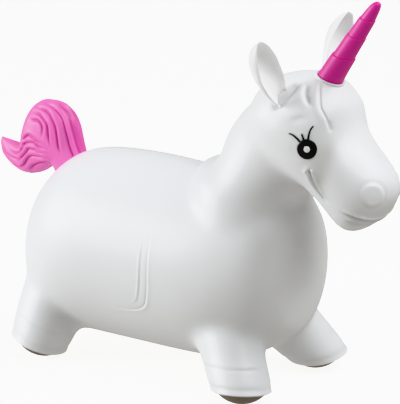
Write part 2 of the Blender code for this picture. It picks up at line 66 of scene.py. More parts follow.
# Legs and soles
front_foot_inset = 0.0375
rear_foot_inset = 0.0630
front_track = 0.163
rear_track = 0.162
leg_radius = 0.0395
hip_height = 0.078
front_splay_along = 0.72
rear_splay_along = 0.08
splay_out = 0.54
sole_rise = 0.0165
sole_share = 0.825
front_sole_roll = math.radians(9)
front_sole_swing = math.radians(4)
rear_sole_roll = math.radians(8)
rear_sole_swing = math.radians(17)
contact_squash = 0.0010
rim_bead_radius = 0.0018

# Dome of a sole: the rows sunk behind its rim, as share of its radius and height, and how near its
# last row comes to the pole, as a share of the sweep
sole_sunk_rows = ((0.9, -0.002), (1.0, -0.001))
sole_pole_share = 0.01

# Walls: the skin's, how far the chamber is drawn in to clear the relief, and gaps between pieces
skin_wall = 0.0030
chamber_inset = 0.0060
seat_clearance = 0.0003

# Ears: the share of the wall that the lips take off the width, how blunt the lips are, the flare
# of the inner lip with its place and spread up the ear, and the share of the wall left at the tip
ear_length = 0.109
ear_width = 0.045
ear_depth = 0.026
ear_wall = 0.0042
ear_lip_share = 0.6
ear_lip_power = 10
ear_lip_flare = 0.0030
ear_flare_at = 0.26
ear_flare_spread = 0.16
ear_tip_wall_share = 0.35
ear_root_out_share = 0.645
ear_root_up_share = 0.175
ear_root_back = -0.0010
ear_lean_out = math.radians(31.5)
ear_lean_forward = math.radians(-1.5)
ear_turn_in = math.radians(4)

# Horn with its collar, and tail
horn_length = 0.1235
horn_base_radius = 0.0156
horn_tip_radius = 0.0052
horn_step = 0.0010
horn_lean = math.radians(33)
horn_ring_tilt = math.radians(19)
horn_forward = -0.0055
collar_bead_radius = 0.0015
collar_half_height = 0.0022
collar_lift = 0.0026
tail_reach = 0.1400
tail_height = 0.1050
tail_width = 0.046
tail_ahead_of_rump = 0.0730
tail_drop = 0.0190

# Eyes: the lifts keep the print proud of the skin, and the dot's second tone is strongest in its
# middle and gone at this share of its radius
eye_radius = 0.0122
eye_glint_radius = 0.0038
eye_film = 0.0006
eye_lift = 0.0008
eye_dot_lift = 0.0014
eye_dot_tone = 0.8
eye_dot_middle = 0.5
eye_along_share = 0.095
eye_up_share = 0.020
eye_bearing = math.radians(68)

# Lashes: where they leave the disc, as a share of its radius, how much of their width they lose,
# and the tip, rounded over the last of so many parts down to this share of the width
lash_width = 0.0025
lash_length = 0.0165
lash_foot_share = 0.97
lash_taper = 0.35
lash_round_parts = 12
lash_tip_share = math.sqrt(0.05)

# Valve: the boss on the skin, the seat with its bore, and the plug with its tab; an edge is the
# size of its rounding, and a turned outline starts this far from its axis
valve_height = 0.118
boss_radius = 0.0140
boss_height = 0.0026
boss_spread = 0.0025
boss_edge = 0.0012
seat_flange_radius = 0.0105
seat_flange_height = 0.0016
seat_tube_radius = 0.0062
seat_tube_length = 0.0150
seat_edge = 0.0006
bore_radius = 0.0040
bore_reach = 0.03
plug_head_radius = 0.0088
plug_head_height = 0.0026
plug_stem_length = 0.0180
plug_tip_radius = 0.0030
plug_edge = 0.0007
plug_sharp_angle = math.radians(60)
tab_length = 0.0110
tab_width = 0.0080
tab_height = 0.0018
tab_edge = 0.0005
tab_sunk = 0.0010
pole_radius = 0.0001

# Soft body: voxels of the skin and of its chamber, and the smoothing of the joins as rounds times
# voxel squared, so that both bodies come out alike
skin_voxel = 0.0036
chamber_voxel = 0.0070
blend_spread = 18 * 0.0060 ** 2
guide_levels = 2
skin_sharp_angle = math.radians(50)

# Relief: each round of refining halves the faces within reach of the lines that have a bump of
# less than this half width. A bump's bell curve is followed out to so many half widths. The
# painted shade in the creases of the skin and in the valleys between locks is full at these
# depths, and the locks have their full height where the tail has more than this share of its width
refine_steps = ((0.0050, 0.0066), (0.0023, 0.0044))
bell_reach = 3
crease_shade_depth = 0.0026
lock_shade_depth = 0.0017
lock_full_width = 0.7

# Fineness of the grids, how many points lie on each kind of line, and smallest numbers
loft_rows, loft_columns = 90, 96
horn_rows, horn_columns = 240, 128
tail_rows, tail_columns = 220, 400
ear_rows, ear_columns = 90, 60
sole_rows, sole_columns = 40, 96
disc_rings, disc_columns = 8, 72
lash_rows, lash_columns = 24, 5
boss_columns = 96
valve_columns = 72
tab_rows, tab_end_points = 9, 25
rim_points, bead_sides = 128, 16
corner_steps, corner_share = 5, 0.45
dense_points = 12
line_points = 60
blanket_points = 70
nostril_points = 72
ring_points = 96
cut_closeness = 1e-7
tiny = 1e-12

# The camera stands off to the front of the right side, its bearing measured as way_from_toy says
camera_azimuth = math.radians(35.4)
camera_elevation = math.radians(16.7)
camera_distance = 4.0
camera_aim = (0.0195, 0.0, 0.215)
camera_lens = 285.1
camera_sensor = 36
camera_sight = 100

# Vinyl: slow clouds of a darker tone, fine grain, and how far light goes into a thin wall
cloud_scale = 9.0
cloud_detail = 2.0
cloud_tone = 0.94
grain_scale = 700.0
grain_detail = 3.0
grain_strength = 0.25
grain_depth = 0.00005
vinyl_ior = 1.5
coat_roughness = 0.35
sheen_roughness = 0.4
glow_reach = 0.008

# Finishes: tone and roughness, and where they have them a second tone with the layer of the mesh
# that mixes it in, and their own sheen, coat and glow
finishes = {
    # white skin: its second tone is painted shade, mixed in where the creases are deeper
    "white_satin": dict(tone=(0.80, 0.81, 0.83), roughness=0.42, layer="groove",
                        second=(0.64, 0.64, 0.63)),
    # white ears: their tone, lighter than the skin's, is painted light; their glow lets light
    # through the thin wall
    "white_ear": dict(tone=(0.84, 0.85, 0.86), roughness=0.42, glow=0.8),
    # pink tail: its second tone is painted shade in the valleys between the locks
    "pink_satin": dict(tone=(0.92, 0.19, 0.58), roughness=0.42, layer="groove",
                       second=(0.66, 0.06, 0.34), sheen=0.2),
    "pink_horn": dict(tone=(0.72, 0.04, 0.34), roughness=0.46, sheen=0.1, coat=0.05),
    # soles: painted shade, a dark brown where the undersides of the white feet lie in shade
    "sole_painted_shade": dict(tone=(0.24, 0.20, 0.165), roughness=0.6, coat=0.0),
    "black_ink": dict(tone=(0.004, 0.004, 0.006), roughness=0.35),
    "white_ink": dict(tone=(0.85, 0.87, 0.90), roughness=0.3, layer="middle",
                      second=(0.45, 0.50, 0.58)),
}

# Studio: the floor, the room's own light, which changes from below to above round the level, and
# lamps with their bearing from the camera's, elevation and power
floor_half = 6.0
floor_colour = (0.86, 0.86, 0.86, 1)
floor_roughness = 0.9
floor_glow = 1.30
room_colour = (1.0, 0.97, 0.90, 1)
room_light_below = 0.58
room_light_above = 0.25
room_blend = 0.15
lamp_aim = (0.0, 0.0, 0.2)
lamp_distance = 3.0
lamp_width = 2.0
lamp_colour = (0.96, 0.98, 1.0)
studio_lamps = (
    ("low_left_lamp", -88, 17, 94),
    ("high_right_lamp", 90, 55, 58),
    ("front_right_lamp", 45, 50, 34),
)

# Trunk stations: along the length from the rear, top and bottom over the height, half width
trunk_shares = (
    (0.000, 0.43, 0.43, 0.00),
    (0.006, 0.57, 0.27, 0.22),
    (0.022, 0.67, 0.175, 0.41),
    (0.051, 0.755, 0.100, 0.60),
    (0.092, 0.838, 0.045, 0.77),
    (0.144, 0.912, 0.015, 0.890),
    (0.209, 0.960, 0.002, 0.970),
    (0.307, 0.980, 0.000, 1.000),
    (0.428, 0.987, 0.000, 1.000),
    (0.562, 0.980, 0.000, 1.000),
    (0.684, 0.975, 0.004, 0.990),
    (0.781, 0.975, 0.025, 0.955),
    (0.866, 0.970, 0.075, 0.880),
    (0.927, 0.945, 0.132, 0.785),
    (0.971, 0.890, 0.188, 0.635),
    (0.993, 0.810, 0.258, 0.450),
    (1.000, 0.53, 0.53, 0.00),
)

# Neck stations: forward and up over the lift, half depth, half width, slope in degrees
neck_shares = (
    (0.000, 0.000, 0.00, 0.00, 0),
    (0.000, 0.000, 0.80, 0.80, 0),
    (0.030, 0.090, 1.00, 1.00, 0),
    (0.030, 0.370, 1.00, 1.00, 2),
    (0.030, 0.776, 1.020, 0.90, 24),
    (0.128, 0.993, 0.732, 0.75, 22),
    (0.251, 1.216, 0.822, 0.63, 24),
    (0.390, 1.433, 0.780, 0.60, 28),
    (0.480, 1.580, 0.52, 0.50, 30),
    (0.510, 1.630, 0.00, 0.00, 30),
)

# Head stations: along the length from the back, up and down over the depth, half width
head_shares = (
    (0.018, -0.040, -0.040, 0.00),
    (0.030, 0.035, -0.130, 0.220),
    (0.054, 0.125, -0.220, 0.450),
    (0.093, 0.235, -0.330, 0.660),
    (0.152, 0.345, -0.430, 0.851),
    (0.224, 0.434, -0.460, 0.948),
    (0.324, 0.486, -0.455, 1.000),
    (0.398, 0.488, -0.430, 1.000),
    (0.464, 0.446, -0.385, 0.985),
    (0.520, 0.384, -0.343, 0.955),
    (0.579, 0.348, -0.312, 0.910),
    (0.640, 0.344, -0.292, 0.858),
    (0.747, 0.357, -0.290, 0.790),
    (0.837, 0.360, -0.298, 0.750),
    (0.905, 0.338, -0.298, 0.690),
    (0.958, 0.270, -0.250, 0.560),
    (0.990, 0.150, -0.145, 0.330),
    (1.000, -0.020, -0.020, 0.00),
)

# Leg stations: along the leg from the hip to beyond the rim, radius of a front and a rear leg
leg_shares = (
    (0.00, 0.00, 0.00),
    (0.00, 1.06, 1.12),
    (0.25, 1.04, 1.10),
    (0.50, 1.00, 1.07),
    (0.70, 1.00, 1.04),
    (0.86, 1.02, 1.00),
    (1.00, 0.97, 0.96),
    (1.30, 0.95, 0.95),
    (1.30, 0.00, 0.00),
)

# Ear stations: along the length from the root, width and depth
ear_shares = (
    (0.00, 0.24, 0.32),
    (0.12, 0.46, 0.38),
    (0.26, 0.72, 0.47),
    (0.42, 0.94, 0.64),
    (0.58, 1.00, 0.80),
    (0.72, 0.90, 0.84),
    (0.84, 0.70, 0.70),
    (0.93, 0.46, 0.42),
    (0.98, 0.24, 0.18),
)

# Horn outline: up the length, radius between tip (0) and base (1), steps passed
horn_shares = (
    (-0.128, 1.00, 0),
    (0.000, 1.00, 0),
    (0.150, 0.92, 0),
    (0.280, 0.87, 0),
    (0.294, 0.84, 0),
    (0.298, 0.80, 1),
    (0.304, 0.82, 1),
    (0.430, 0.76, 1),
    (0.541, 0.72, 1),
    (0.556, 0.70, 1),
    (0.561, 0.61, 1),
    (0.567, 0.63, 1),
    (0.670, 0.59, 1),
    (0.761, 0.54, 1),
    (0.776, 0.52, 1),
    (0.781, 0.42, 1),
    (0.787, 0.44, 1),
    (0.880, 0.32, 1),
    (0.940, 0.19, 1),
    (0.975, 0.02, 1),
    (0.994, -0.24, 1),
    (1.000, -0.40, 1),
)

# Tail sections: front and top edge, rear and bottom edge (over reach and height), half width
tail_shares = (
    (0.071, -0.252, -0.243, -0.481, 0.50),
    (-0.014, -0.081, -0.336, -0.338, 0.70),
    (-0.068, 0.129, -0.400, -0.224, 0.82),
    (-0.118, 0.367, -0.443, -0.275, 0.92),
    (-0.196, 0.514, -0.489, -0.318, 0.98),
    (-0.304, 0.592, -0.539, -0.350, 1.00),
    (-0.450, 0.595, -0.596, -0.374, 1.00),
    (-0.588, 0.510, -0.654, -0.390, 0.97),
    (-0.658, 0.358, -0.707, -0.392, 0.88),
    (-0.634, 0.186, -0.761, -0.384, 0.74),
    (-0.628, 0.024, -0.811, -0.362, 0.60),
    (-0.725, -0.034, -0.872, -0.326, 0.48),
    (-0.856, -0.019, -0.935, -0.266, 0.40),
    (-0.946, -0.004, -0.990, -0.186, 0.26),
    (-0.999, 0.006, -1.012, -0.090, 0.10),
)

# Valleys between the locks: points over the tail's reach and height, from the crown or the tip
# to the root, and the shares over which each valley starts and ends; then the bumps across them
lock_lines = (
    (((-0.588, 0.318), (-0.546, 0.352), (-0.470, 0.359), (-0.417, 0.314), (-0.404, 0.259),
      (-0.406, 0.180), (-0.410, 0.110)), 0.3, 0.4),
    (((-0.600, 0.425), (-0.532, 0.449), (-0.463, 0.435), (-0.397, 0.379), (-0.353, 0.321),
      (-0.336, 0.206), (-0.321, 0.120), (-0.299, 0.039)), 0.35, 0.25),
    (((-0.575, 0.515), (-0.498, 0.505), (-0.399, 0.488), (-0.350, 0.458), (-0.297, 0.379),
      (-0.265, 0.307), (-0.244, 0.194), (-0.231, 0.074), (-0.205, -0.020)), 0.3, 0.15),
    (((-0.490, 0.560), (-0.406, 0.551), (-0.328, 0.533), (-0.257, 0.472), (-0.207, 0.391),
      (-0.173, 0.280), (-0.154, 0.200), (-0.134, 0.096), (-0.105, -0.010)), 0.25, 0.0),
    (((-0.373, 0.600), (-0.305, 0.578), (-0.259, 0.543), (-0.185, 0.460), (-0.153, 0.385),
      (-0.117, 0.253), (-0.094, 0.141), (-0.060, 0.020)), 0.2, 0.0),
    (((-0.250, 0.560), (-0.175, 0.480), (-0.128, 0.385), (-0.098, 0.266), (-0.074, 0.156),
      (-0.040, 0.040)), 0.2, 0.0),
    (((-0.640, 0.060), (-0.593, 0.135), (-0.559, 0.158), (-0.508, 0.141), (-0.453, 0.104),
      (-0.395, 0.072), (-0.320, 0.035)), 0.1, 0.4),
    (((-0.640, 0.000), (-0.605, 0.045), (-0.566, 0.064), (-0.504, 0.073), (-0.454, 0.047),
      (-0.381, 0.026), (-0.310, 0.018)), 0.1, 0.4),
    (((-0.975, -0.060), (-0.905, -0.175), (-0.840, -0.207), (-0.762, -0.211), (-0.673, -0.158),
      (-0.609, -0.085), (-0.558, -0.017), (-0.497, -0.020), (-0.434, -0.040), (-0.380, -0.034),
      (-0.307, -0.035)), 0.15, 0.3),
    (((-0.905, -0.275), (-0.842, -0.297), (-0.753, -0.307), (-0.681, -0.274), (-0.635, -0.220),
      (-0.604, -0.168), (-0.562, -0.120), (-0.501, -0.101), (-0.430, -0.103), (-0.356, -0.102),
      (-0.304, -0.112)), 0.2, 0.3),
    (((-0.900, -0.080), (-0.836, -0.129), (-0.784, -0.145), (-0.686, -0.079), (-0.625, 0.000),
      (-0.590, 0.075)), 0.4, 0.4),
    (((-0.630, -0.330), (-0.533, -0.228), (-0.454, -0.182), (-0.377, -0.158), (-0.323, -0.157)),
     0.2, 0.4),
)
lock_bumps = ((0.0000, 0.0017, -0.0018), (0.0042, 0.0024, 0.0008))

# Lashes: place on the disc in degrees from the front, length over the lash, bend in degrees
lash_shares = (
    (137, 1.06, 42),
    (112, 0.48, 4),
    (86, 1.08, -45),
)

# Creases and ridges of the head: points as (along the head, towards the crown, sideways) from
# the middle of the skull, then (offset, half width, height) of each bump across the line, then
# the shares of the line over which its start and its end fade
head_lines = {
    "smile crease": (
     ((0.0580, 0.0044, 0.0604), (0.0622, 0.0014, 0.0595), (0.0664, -0.0015, 0.0582),
      (0.0742, -0.0058, 0.0553), (0.0823, -0.0087, 0.0527), (0.0901, -0.0097, 0.0509),
      (0.0973, -0.0101, 0.0493), (0.1040, -0.0094, 0.0489)),
     ((-0.0004, 0.0018, -0.0030), (0.0034, 0.0018, 0.0020), (-0.0050, 0.0024, 0.0006)),
     0.06, 0.35),
    "cheek hollow": (
     ((0.0389, 0.0447, 0.0425), (0.0493, 0.0376, 0.0459), (0.0594, 0.0286, 0.0511),
      (0.0698, 0.0175, 0.0554), (0.0791, 0.0052, 0.0552), (0.0917, -0.0014, 0.0526),
      (0.1059, -0.0015, 0.0503)),
     ((0.0000, 0.0110, -0.0020),), 0.35, 0.35),
    "smile dimple": (
     ((0.0590, 0.0036, 0.0604), (0.0615, 0.0019, 0.0599), (0.0645, -0.0008, 0.0588)),
     ((-0.0008, 0.0026, -0.0010),), 0.4, 0.4),
    "smile hook": (
     ((0.0589, -0.0072, 0.0583), (0.0568, -0.0022, 0.0601), (0.0562, 0.0032, 0.0611),
      (0.0572, 0.0064, 0.0603), (0.0599, 0.0075, 0.0593)),
     ((0.0000, 0.0022, 0.0007),), 0.4, 0.4),
    "upper lip": (
     ((0.1160, -0.0035, 0.0480), (0.1217, -0.0019, 0.0465), (0.1282, 0.0007, 0.0441),
      (0.1338, 0.0027, 0.0400), (0.1400, 0.0042, 0.0328), (0.1449, 0.0042, 0.0219),
      (0.1477, 0.0024, 0.0080), (0.1482, 0.0018, 0.0028)),
     ((0.0032, 0.0016, 0.0018), (-0.0002, 0.0014, -0.0024)), 0.30, 0.0),
    "lower lip": (
     ((0.1265, -0.0070, 0.0440), (0.1312, -0.0045, 0.0421), (0.1418, -0.0012, 0.0301),
      (0.1468, -0.0023, 0.0119), (0.1478, -0.0024, 0.0028)),
     ((0.0000, 0.0018, 0.0018), (-0.0034, 0.0020, -0.0016)), 0.25, 0.0),
    "forelock edge": (
     ((-0.0230, 0.0608, 0.0140), (-0.0170, 0.0614, 0.0207), (-0.0096, 0.0614, 0.0281),
      (-0.0021, 0.0600, 0.0338), (0.0051, 0.0575, 0.0381), (0.0117, 0.0558, 0.0404),
      (0.0180, 0.0549, 0.0406), (0.0261, 0.0523, 0.0399), (0.0325, 0.0496, 0.0405),
      (0.0400, 0.0454, 0.0410)),
     ((0.0002, 0.0014, -0.0015), (-0.0048, 0.0046, 0.0013)), 0.35, 0.35),
    "forelock end": (
     ((0.0230, 0.0534, 0.0402), (0.0325, 0.0496, 0.0405), (0.0400, 0.0454, 0.0410)),
     ((0.0022, 0.0030, -0.0012),), 0.4, 0.35),
    "forelock valley": (
     ((-0.0290, 0.0540, 0.0240), (-0.0250, 0.0534, 0.0290), (-0.0205, 0.0528, 0.0356),
      (-0.0155, 0.0518, 0.0406), (-0.0095, 0.0512, 0.0439), (-0.0020, 0.0512, 0.0462),
      (0.0050, 0.0511, 0.0463)),
     ((0.0000, 0.0030, -0.0026), (-0.0070, 0.0045, 0.0006)), 0.35, 0.30),
    "ear valley": (
     ((-0.0345, 0.0475, 0.0270), (-0.0319, 0.0456, 0.0334), (-0.0301, 0.0419, 0.0402),
      (-0.0282, 0.0382, 0.0468), (-0.0268, 0.0334, 0.0504), (-0.0254, 0.0293, 0.0532),
      (-0.0240, 0.0259, 0.0558), (-0.0233, 0.0240, 0.0570)),
     ((0.0000, 0.0032, -0.0012), (-0.0026, 0.0060, -0.0040)), 0.30, 0.0),
    "brow": (
     ((0.0026, 0.0201, 0.0650), (0.0020, 0.0254, 0.0629), (0.0031, 0.0314, 0.0609),
      (0.0059, 0.0371, 0.0579), (0.0098, 0.0418, 0.0550), (0.0151, 0.0452, 0.0522)),
     ((0.0000, 0.0045, -0.0008), (0.0070, 0.0050, 0.0004)), 0.45, 0.45),
}

# Nostril ring: middle of the ring and its half length and half width, on the same axes
nostril_middle = (0.1272, 0.0338, 0.0285)
nostril_half_length = 0.0129
nostril_half_width = 0.0116
nostril_bumps = ((0.0000, 0.0036, 0.0005), (-0.0048, 0.0026, -0.0005))

# Blanket border pressed into the right and the left flank: points as (forward, up)
blanket_lines = {
    "blanket border": (
     ((0.0150, 0.215), (0.0160, 0.190), (0.0170, 0.160), (0.0173, 0.140), (0.0150, 0.120),
      (0.0112, 0.108), (0.0050, 0.1015), (-0.0049, 0.0973), (-0.0200, 0.0945), (-0.0500, 0.092)),
     ((0.0000, 0.0013, -0.0006), (0.0028, 0.0019, 0.0005)), 0.60, 0.45),
    "blanket hem": (
     ((0.0040, 0.200), (0.0045, 0.170), (0.0040, 0.140), (0.0010, 0.120), (-0.0050, 0.1085),
      (-0.0200, 0.1040)),
     ((0.0000, 0.0016, 0.0005), (0.0030, 0.0016, -0.0004)), 0.55, 0.35),
}

# Rings round each leg: rise above the rim, and bumps. The ankle ring is full where the cosine of
# the turn from the outer side is above the start of its fade, and gone below the end
ankle_rise = 0.0290
ankle_bumps = ((0.0000, 0.0024, -0.0005), (-0.0042, 0.0036, 0.0003))
ankle_fade_start = 0.55
ankle_fade_end = -0.35
rim_groove_rise = 0.0062
rim_groove_bumps = ((0.0000, 0.0034, -0.0006),)

# Swelling of the forehead round the foot of the horn
horn_seat_bumps = ((0.0000, 0.0110, 0.0024),)

# Ways in the frame, the four feet, and places that follow from the sizes
FORWARD = np.array([1.0, 0.0, 0.0])
LEFT = np.array([0.0, 1.0, 0.0])
UP = np.array([0.0, 0.0, 1.0])
ENDS = {1: "front", -1: "rear"}
SIDES = {-1: "right", 1: "left"}
FEET = [(end, side) for end in ENDS for side in SIDES]
back_height = belly_clearance + barrel_height
chest_front = trunk_length - rump_reach
chest_middle = np.array([chest_front - neck_depth / 2, 0, back_height - neck_lift])
skull = np.array([chest_middle[0] + head_forward, 0, back_height + head_lift])
head_ahead = np.array([math.cos(head_pitch), 0, -math.sin(head_pitch)])
head_crown = np.array([math.sin(head_pitch), 0, math.cos(head_pitch)])
tail_root = np.array([tail_ahead_of_rump - rump_reach, 0, back_height - tail_drop])
sole_radius = sole_share * leg_radius
dome_radius = (sole_radius ** 2 + sole_rise ** 2) / (2 * sole_rise)
foot_reach = 1.5 * leg_radius


def unit(vectors):
    """Each vector over its own length."""
    return vectors / np.maximum(np.linalg.norm(vectors, axis=-1, keepdims=True), tiny)


def turns(count):
    """Count angles evenly spaced round one full turn."""
    return np.linspace(0, 2 * math.pi, count, endpoint=False)


def smooth_rows(table, count):
    """Count rows on a curve through the table's rows: cubic pieces whose slope at a row is the
    harmonic mean of the steps before and after it, or 0 where they differ in sign."""
    points = np.array(table, dtype=float)
    step = np.diff(points, axis=0)
    product = step[:-1] * step[1:]
    total = np.where(product > 0, step[:-1] + step[1:], 1)
    inner = np.where(product > 0, 2 * product / total, 0)
    slope = np.vstack([step[:1], inner, step[-1:]])
    place = np.linspace(0, len(points) - 1, count)
    index = np.minimum(place.astype(int), len(points) - 2)
    share = (place - index)[:, None]
    rise = share ** 2 * (3 - 2 * share)
    early = share * (1 - share) ** 2
    late = share ** 2 * (share - 1)
    return (points[index] * (1 - rise) + points[index + 1] * rise
            + slope[index] * early + slope[index + 1] * late)


def curve_points(points, count):
    """Count points evenly spaced by length on the smooth curve through the given points."""
    dense = smooth_rows(points, dense_points * len(points))
    run = np.concatenate([[0], np.cumsum(np.linalg.norm(np.diff(dense, axis=0), axis=1))])
    even = np.linspace(0, run[-1], count)
    return np.stack([np.interp(even, run, column) for column in dense.T], axis=1)


def smooth_step(share):
    """0 below 0, 1 above 1, and 3s^2 - 2s^3 between."""
    share = np.clip(share, 0, 1)
    return share ** 2 * (3 - 2 * share)


def spokes(axis, side, count):
    """Count ways out from an axis, evenly round it from this side: across times cosine plus third
    times sine, where across is the side made square to the axis and third is square to both."""
    turn = turns(count)[:, None]
    across = unit(side - axis * (side * axis).sum())
    return across * np.cos(turn) + np.cross(axis, across) * np.sin(turn)


def quads_of(grid, closed=(1,)):
    """Four-cornered faces between neighbours in a (rows, columns) grid of point numbers, which
    closes on itself along the axes named."""
    for axis in closed:
        grid = np.concatenate([grid, grid.take([0], axis=axis)], axis=axis)
    corners = [grid[:-1, :-1], grid[:-1, 1:], grid[1:, 1:], grid[1:, :-1]]
    return np.stack(corners, axis=-1).reshape(-1, 4)


def fan_of(ring, hub):
    """Three-cornered faces from a closed ring of point numbers to the hub's number."""
    return np.stack([np.roll(ring, -1), ring, np.full(len(ring), hub)], axis=-1)


def turned_out(points, faces):
    """The faces with their corners reversed if the closed surface has a negative volume."""
    fan = np.concatenate([part[:, [0, step, step + 1]] for part in faces
                          for step in range(1, part.shape[1] - 1)])
    first, second, third = (points[fan[:, corner]] for corner in range(3))
    volume = (first * np.cross(second, third)).sum()
    return faces if volume > 0 else [part[:, ::-1] for part in faces]


def tube(rings):
    """Points and faces of a closed tube: quads between neighbouring rings of a (rows, columns, 3)
    grid, and a fan from each end ring to the mean of its points."""
    grid = np.arange(rings.size // 3).reshape(rings.shape[:2])
    points = np.concatenate([rings.reshape(-1, 3), rings[[0, -1]].mean(axis=1)])
    start = fan_of(grid[0], grid.size)
    end = fan_of(grid[-1], grid.size + 1)[:, [1, 0, 2]]
    return points, turned_out(points, [quads_of(grid), start, end])


def ring_band(rings):
    """Points and faces of a grid that closes on itself both ways, such as a bead."""
    points = rings.reshape(-1, 3)
    grid = np.arange(len(points)).reshape(rings.shape[:2])
    return points, turned_out(points, [quads_of(grid, closed=(0, 1))])


def together(shells):
    """Several shells as one set of points and faces."""
    points = []
    faces = []
    start = 0
    for shell_points, shell_faces in shells:
        points.append(shell_points)
        faces.extend(part + start for part in shell_faces)
        start += len(shell_points)
    return np.concatenate(points), faces


def mesh_of(name, shell):
    """A mesh with these points and faces, shaded smooth."""
    points, faces = shell
    mesh = bpy.data.meshes.new(name)
    mesh.from_pydata(points.tolist(), [], [face for part in faces for face in part.tolist()])
    mesh.shade_smooth()
    return mesh


def add_object(name, data):
    """Put a mesh, lamp or camera in the scene with its object at the origin."""
    item = bpy.data.objects.new(name, data)
    bpy.context.scene.collection.objects.link(item)
    return item


def applied(item):
    """The object's mesh with its modifiers applied; the object itself is removed."""
    graph = bpy.context.evaluated_depsgraph_get()
    mesh = bpy.data.meshes.new_from_object(item.evaluated_get(graph))
    bpy.data.objects.remove(item, do_unlink=True)
    return mesh


def read_points(mesh, value="co"):
    """One vector for each corner point of the mesh."""
    data = np.empty(len(mesh.vertices) * 3)
    mesh.vertices.foreach_get(value, data)
    return data.reshape(-1, 3)


def write_points(mesh, points):
    """Move the mesh's corner points."""
    mesh.vertices.foreach_set("co", points.ravel())
    mesh.update()


def write_shares(mesh, name, values):
    """Keep one number for each corner point in a layer that a material can read."""
    layer = mesh.attributes.new(name, "FLOAT", "POINT")
    layer.data.foreach_set("value", np.asarray(values, dtype=np.float32))


def dressed(item, finish, body, node):
    """Give the piece its finish, let it ride its body and stand for its CAD node."""
    item.data.materials.clear()
    item.data.materials.append(finish)
    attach(item, body)
    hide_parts(node)


def oval_rings(centres, ups, rises, widths, squareness=2):
    """Rings about the centres: the centre plus up times rise times sine, plus sideways times
    half width times cosine, each raised to 2 over the squareness."""
    turn = turns(loft_columns)
    power = 2 / squareness
    high = np.sign(np.sin(turn)) * abs(np.sin(turn)) ** power
    wide = np.sign(np.cos(turn)) * abs(np.cos(turn)) ** power
    return (centres[:, None] + ups[:, None] * (rises[:, None] * high)[..., None]
            + LEFT * (widths[:, None] * wide)[..., None])


def trunk_rings():
    """Upright ovals along the barrel, their top, bottom and width read from the stations."""
    along, top, bottom, wide = smooth_rows(trunk_shares, loft_rows).T
    centres = (FORWARD * (along * trunk_length - rump_reach)[:, None]
               + UP * (belly_clearance + (top + bottom) / 2 * barrel_height)[:, None])
    ups = np.tile(UP, (loft_rows, 1))
    return oval_rings(centres, ups, (top - bottom) / 2 * barrel_height,
                      wide * barrel_width / 2, barrel_squareness)


def neck_rings():
    """Ovals that slope more and more forwards from the chest to the head."""
    forward, upward, deep, wide, slope = smooth_rows(neck_shares, loft_rows).T
    lean = np.radians(slope)[:, None]
    centres = chest_middle + neck_lift * (FORWARD * forward[:, None] + UP * upward[:, None])
    return oval_rings(centres, UP * np.sin(lean) - FORWARD * np.cos(lean),
                      deep * neck_depth / 2, wide * neck_width / 2)


def head_rings():
    """Ovals square to the head's length, from the back of the skull to the muzzle."""
    along, high, low, wide = smooth_rows(head_shares, loft_rows).T
    centres = (skull + head_ahead * ((along - head_centre_share) * head_length)[:, None]
               + head_crown * ((high + low) / 2 * head_depth)[:, None])
    ups = np.tile(head_crown, (loft_rows, 1))
    return oval_rings(centres, ups, (high - low) / 2 * head_depth, wide * head_width / 2)


def foot_frame(end, side):
    """Middle of a foot's rim and the way its sole faces, from the point where it stands."""
    front = end > 0
    contact_x = chest_front - front_foot_inset if front else rear_foot_inset - rump_reach
    track = front_track if front else rear_track
    roll = front_sole_roll if front else rear_sole_roll
    swing = front_sole_swing if front else rear_sole_swing
    facing = np.array([end * math.sin(swing), side * math.cos(swing) * math.sin(roll),
                       -math.cos(swing) * math.cos(roll)])
    dome_middle = np.array([contact_x, side * track / 2, dome_radius - contact_squash])
    return dome_middle + facing * (dome_radius - sole_rise), facing


def leg_rings(end, side):
    """Round rings from the hip to just past the rim, turning from the leg's way to the sole's."""
    rim, facing = foot_frame(end, side)
    rise = hip_height - rim[2]
    splay_along = front_splay_along if end > 0 else rear_splay_along
    hip = rim + np.array([-end * splay_along, -side * splay_out, 1]) * rise
    along, front_wide, rear_wide = smooth_rows(leg_shares, loft_rows).T
    size = (front_wide if end > 0 else rear_wide) * leg_radius
    share = np.minimum(along, 1)[:, None]
    axis = unit(unit(rim - hip) * (1 - share) + facing * share)
    forward = unit(np.cross(axis, LEFT))
    outward = unit(np.cross(forward, axis))
    turn = turns(loft_columns)
    centres = hip + (rim - hip) * along[:, None]
    return (centres[:, None] + forward[:, None] * (size[:, None] * np.sin(turn))[..., None]
            + outward[:, None] * (size[:, None] * np.cos(turn))[..., None])


def soft_body(name, voxel):
    """The closed lofts remeshed into one body and smoothed as far as blend_spread says."""
    lofts = [trunk_rings(), neck_rings(), head_rings()]
    lofts.extend(leg_rings(end, side) for end, side in FEET)
    item = add_object(name, mesh_of(name, together([tube(rings) for rings in lofts])))
    blend = item.modifiers.new("one body", "REMESH")
    blend.mode = "VOXEL"
    blend.voxel_size = voxel
    blend.use_smooth_shade = True
    soften = item.modifiers.new("soft joins", "SMOOTH")
    soften.factor = 0.5
    soften.iterations = round(blend_spread / voxel ** 2)
    return applied(item)


def tree_of(mesh):
    """A search tree over the mesh's faces."""
    faces = [tuple(face.vertices) for face in mesh.polygons]
    return BVHTree.FromPolygons(read_points(mesh).tolist(), faces)


def on_skin(tree, start, aim):
    """Where a straight line from the start first meets the skin, and the way the skin faces."""
    spot, facing = tree.ray_cast(Vector(start), Vector(aim))[:2]
    return np.array(spot), np.array(facing)


def nearest_on_skin(tree, points):
    """The nearest point of the skin to each of a few points."""
    return np.array([tree.find_nearest(Vector(point))[0] for point in points])


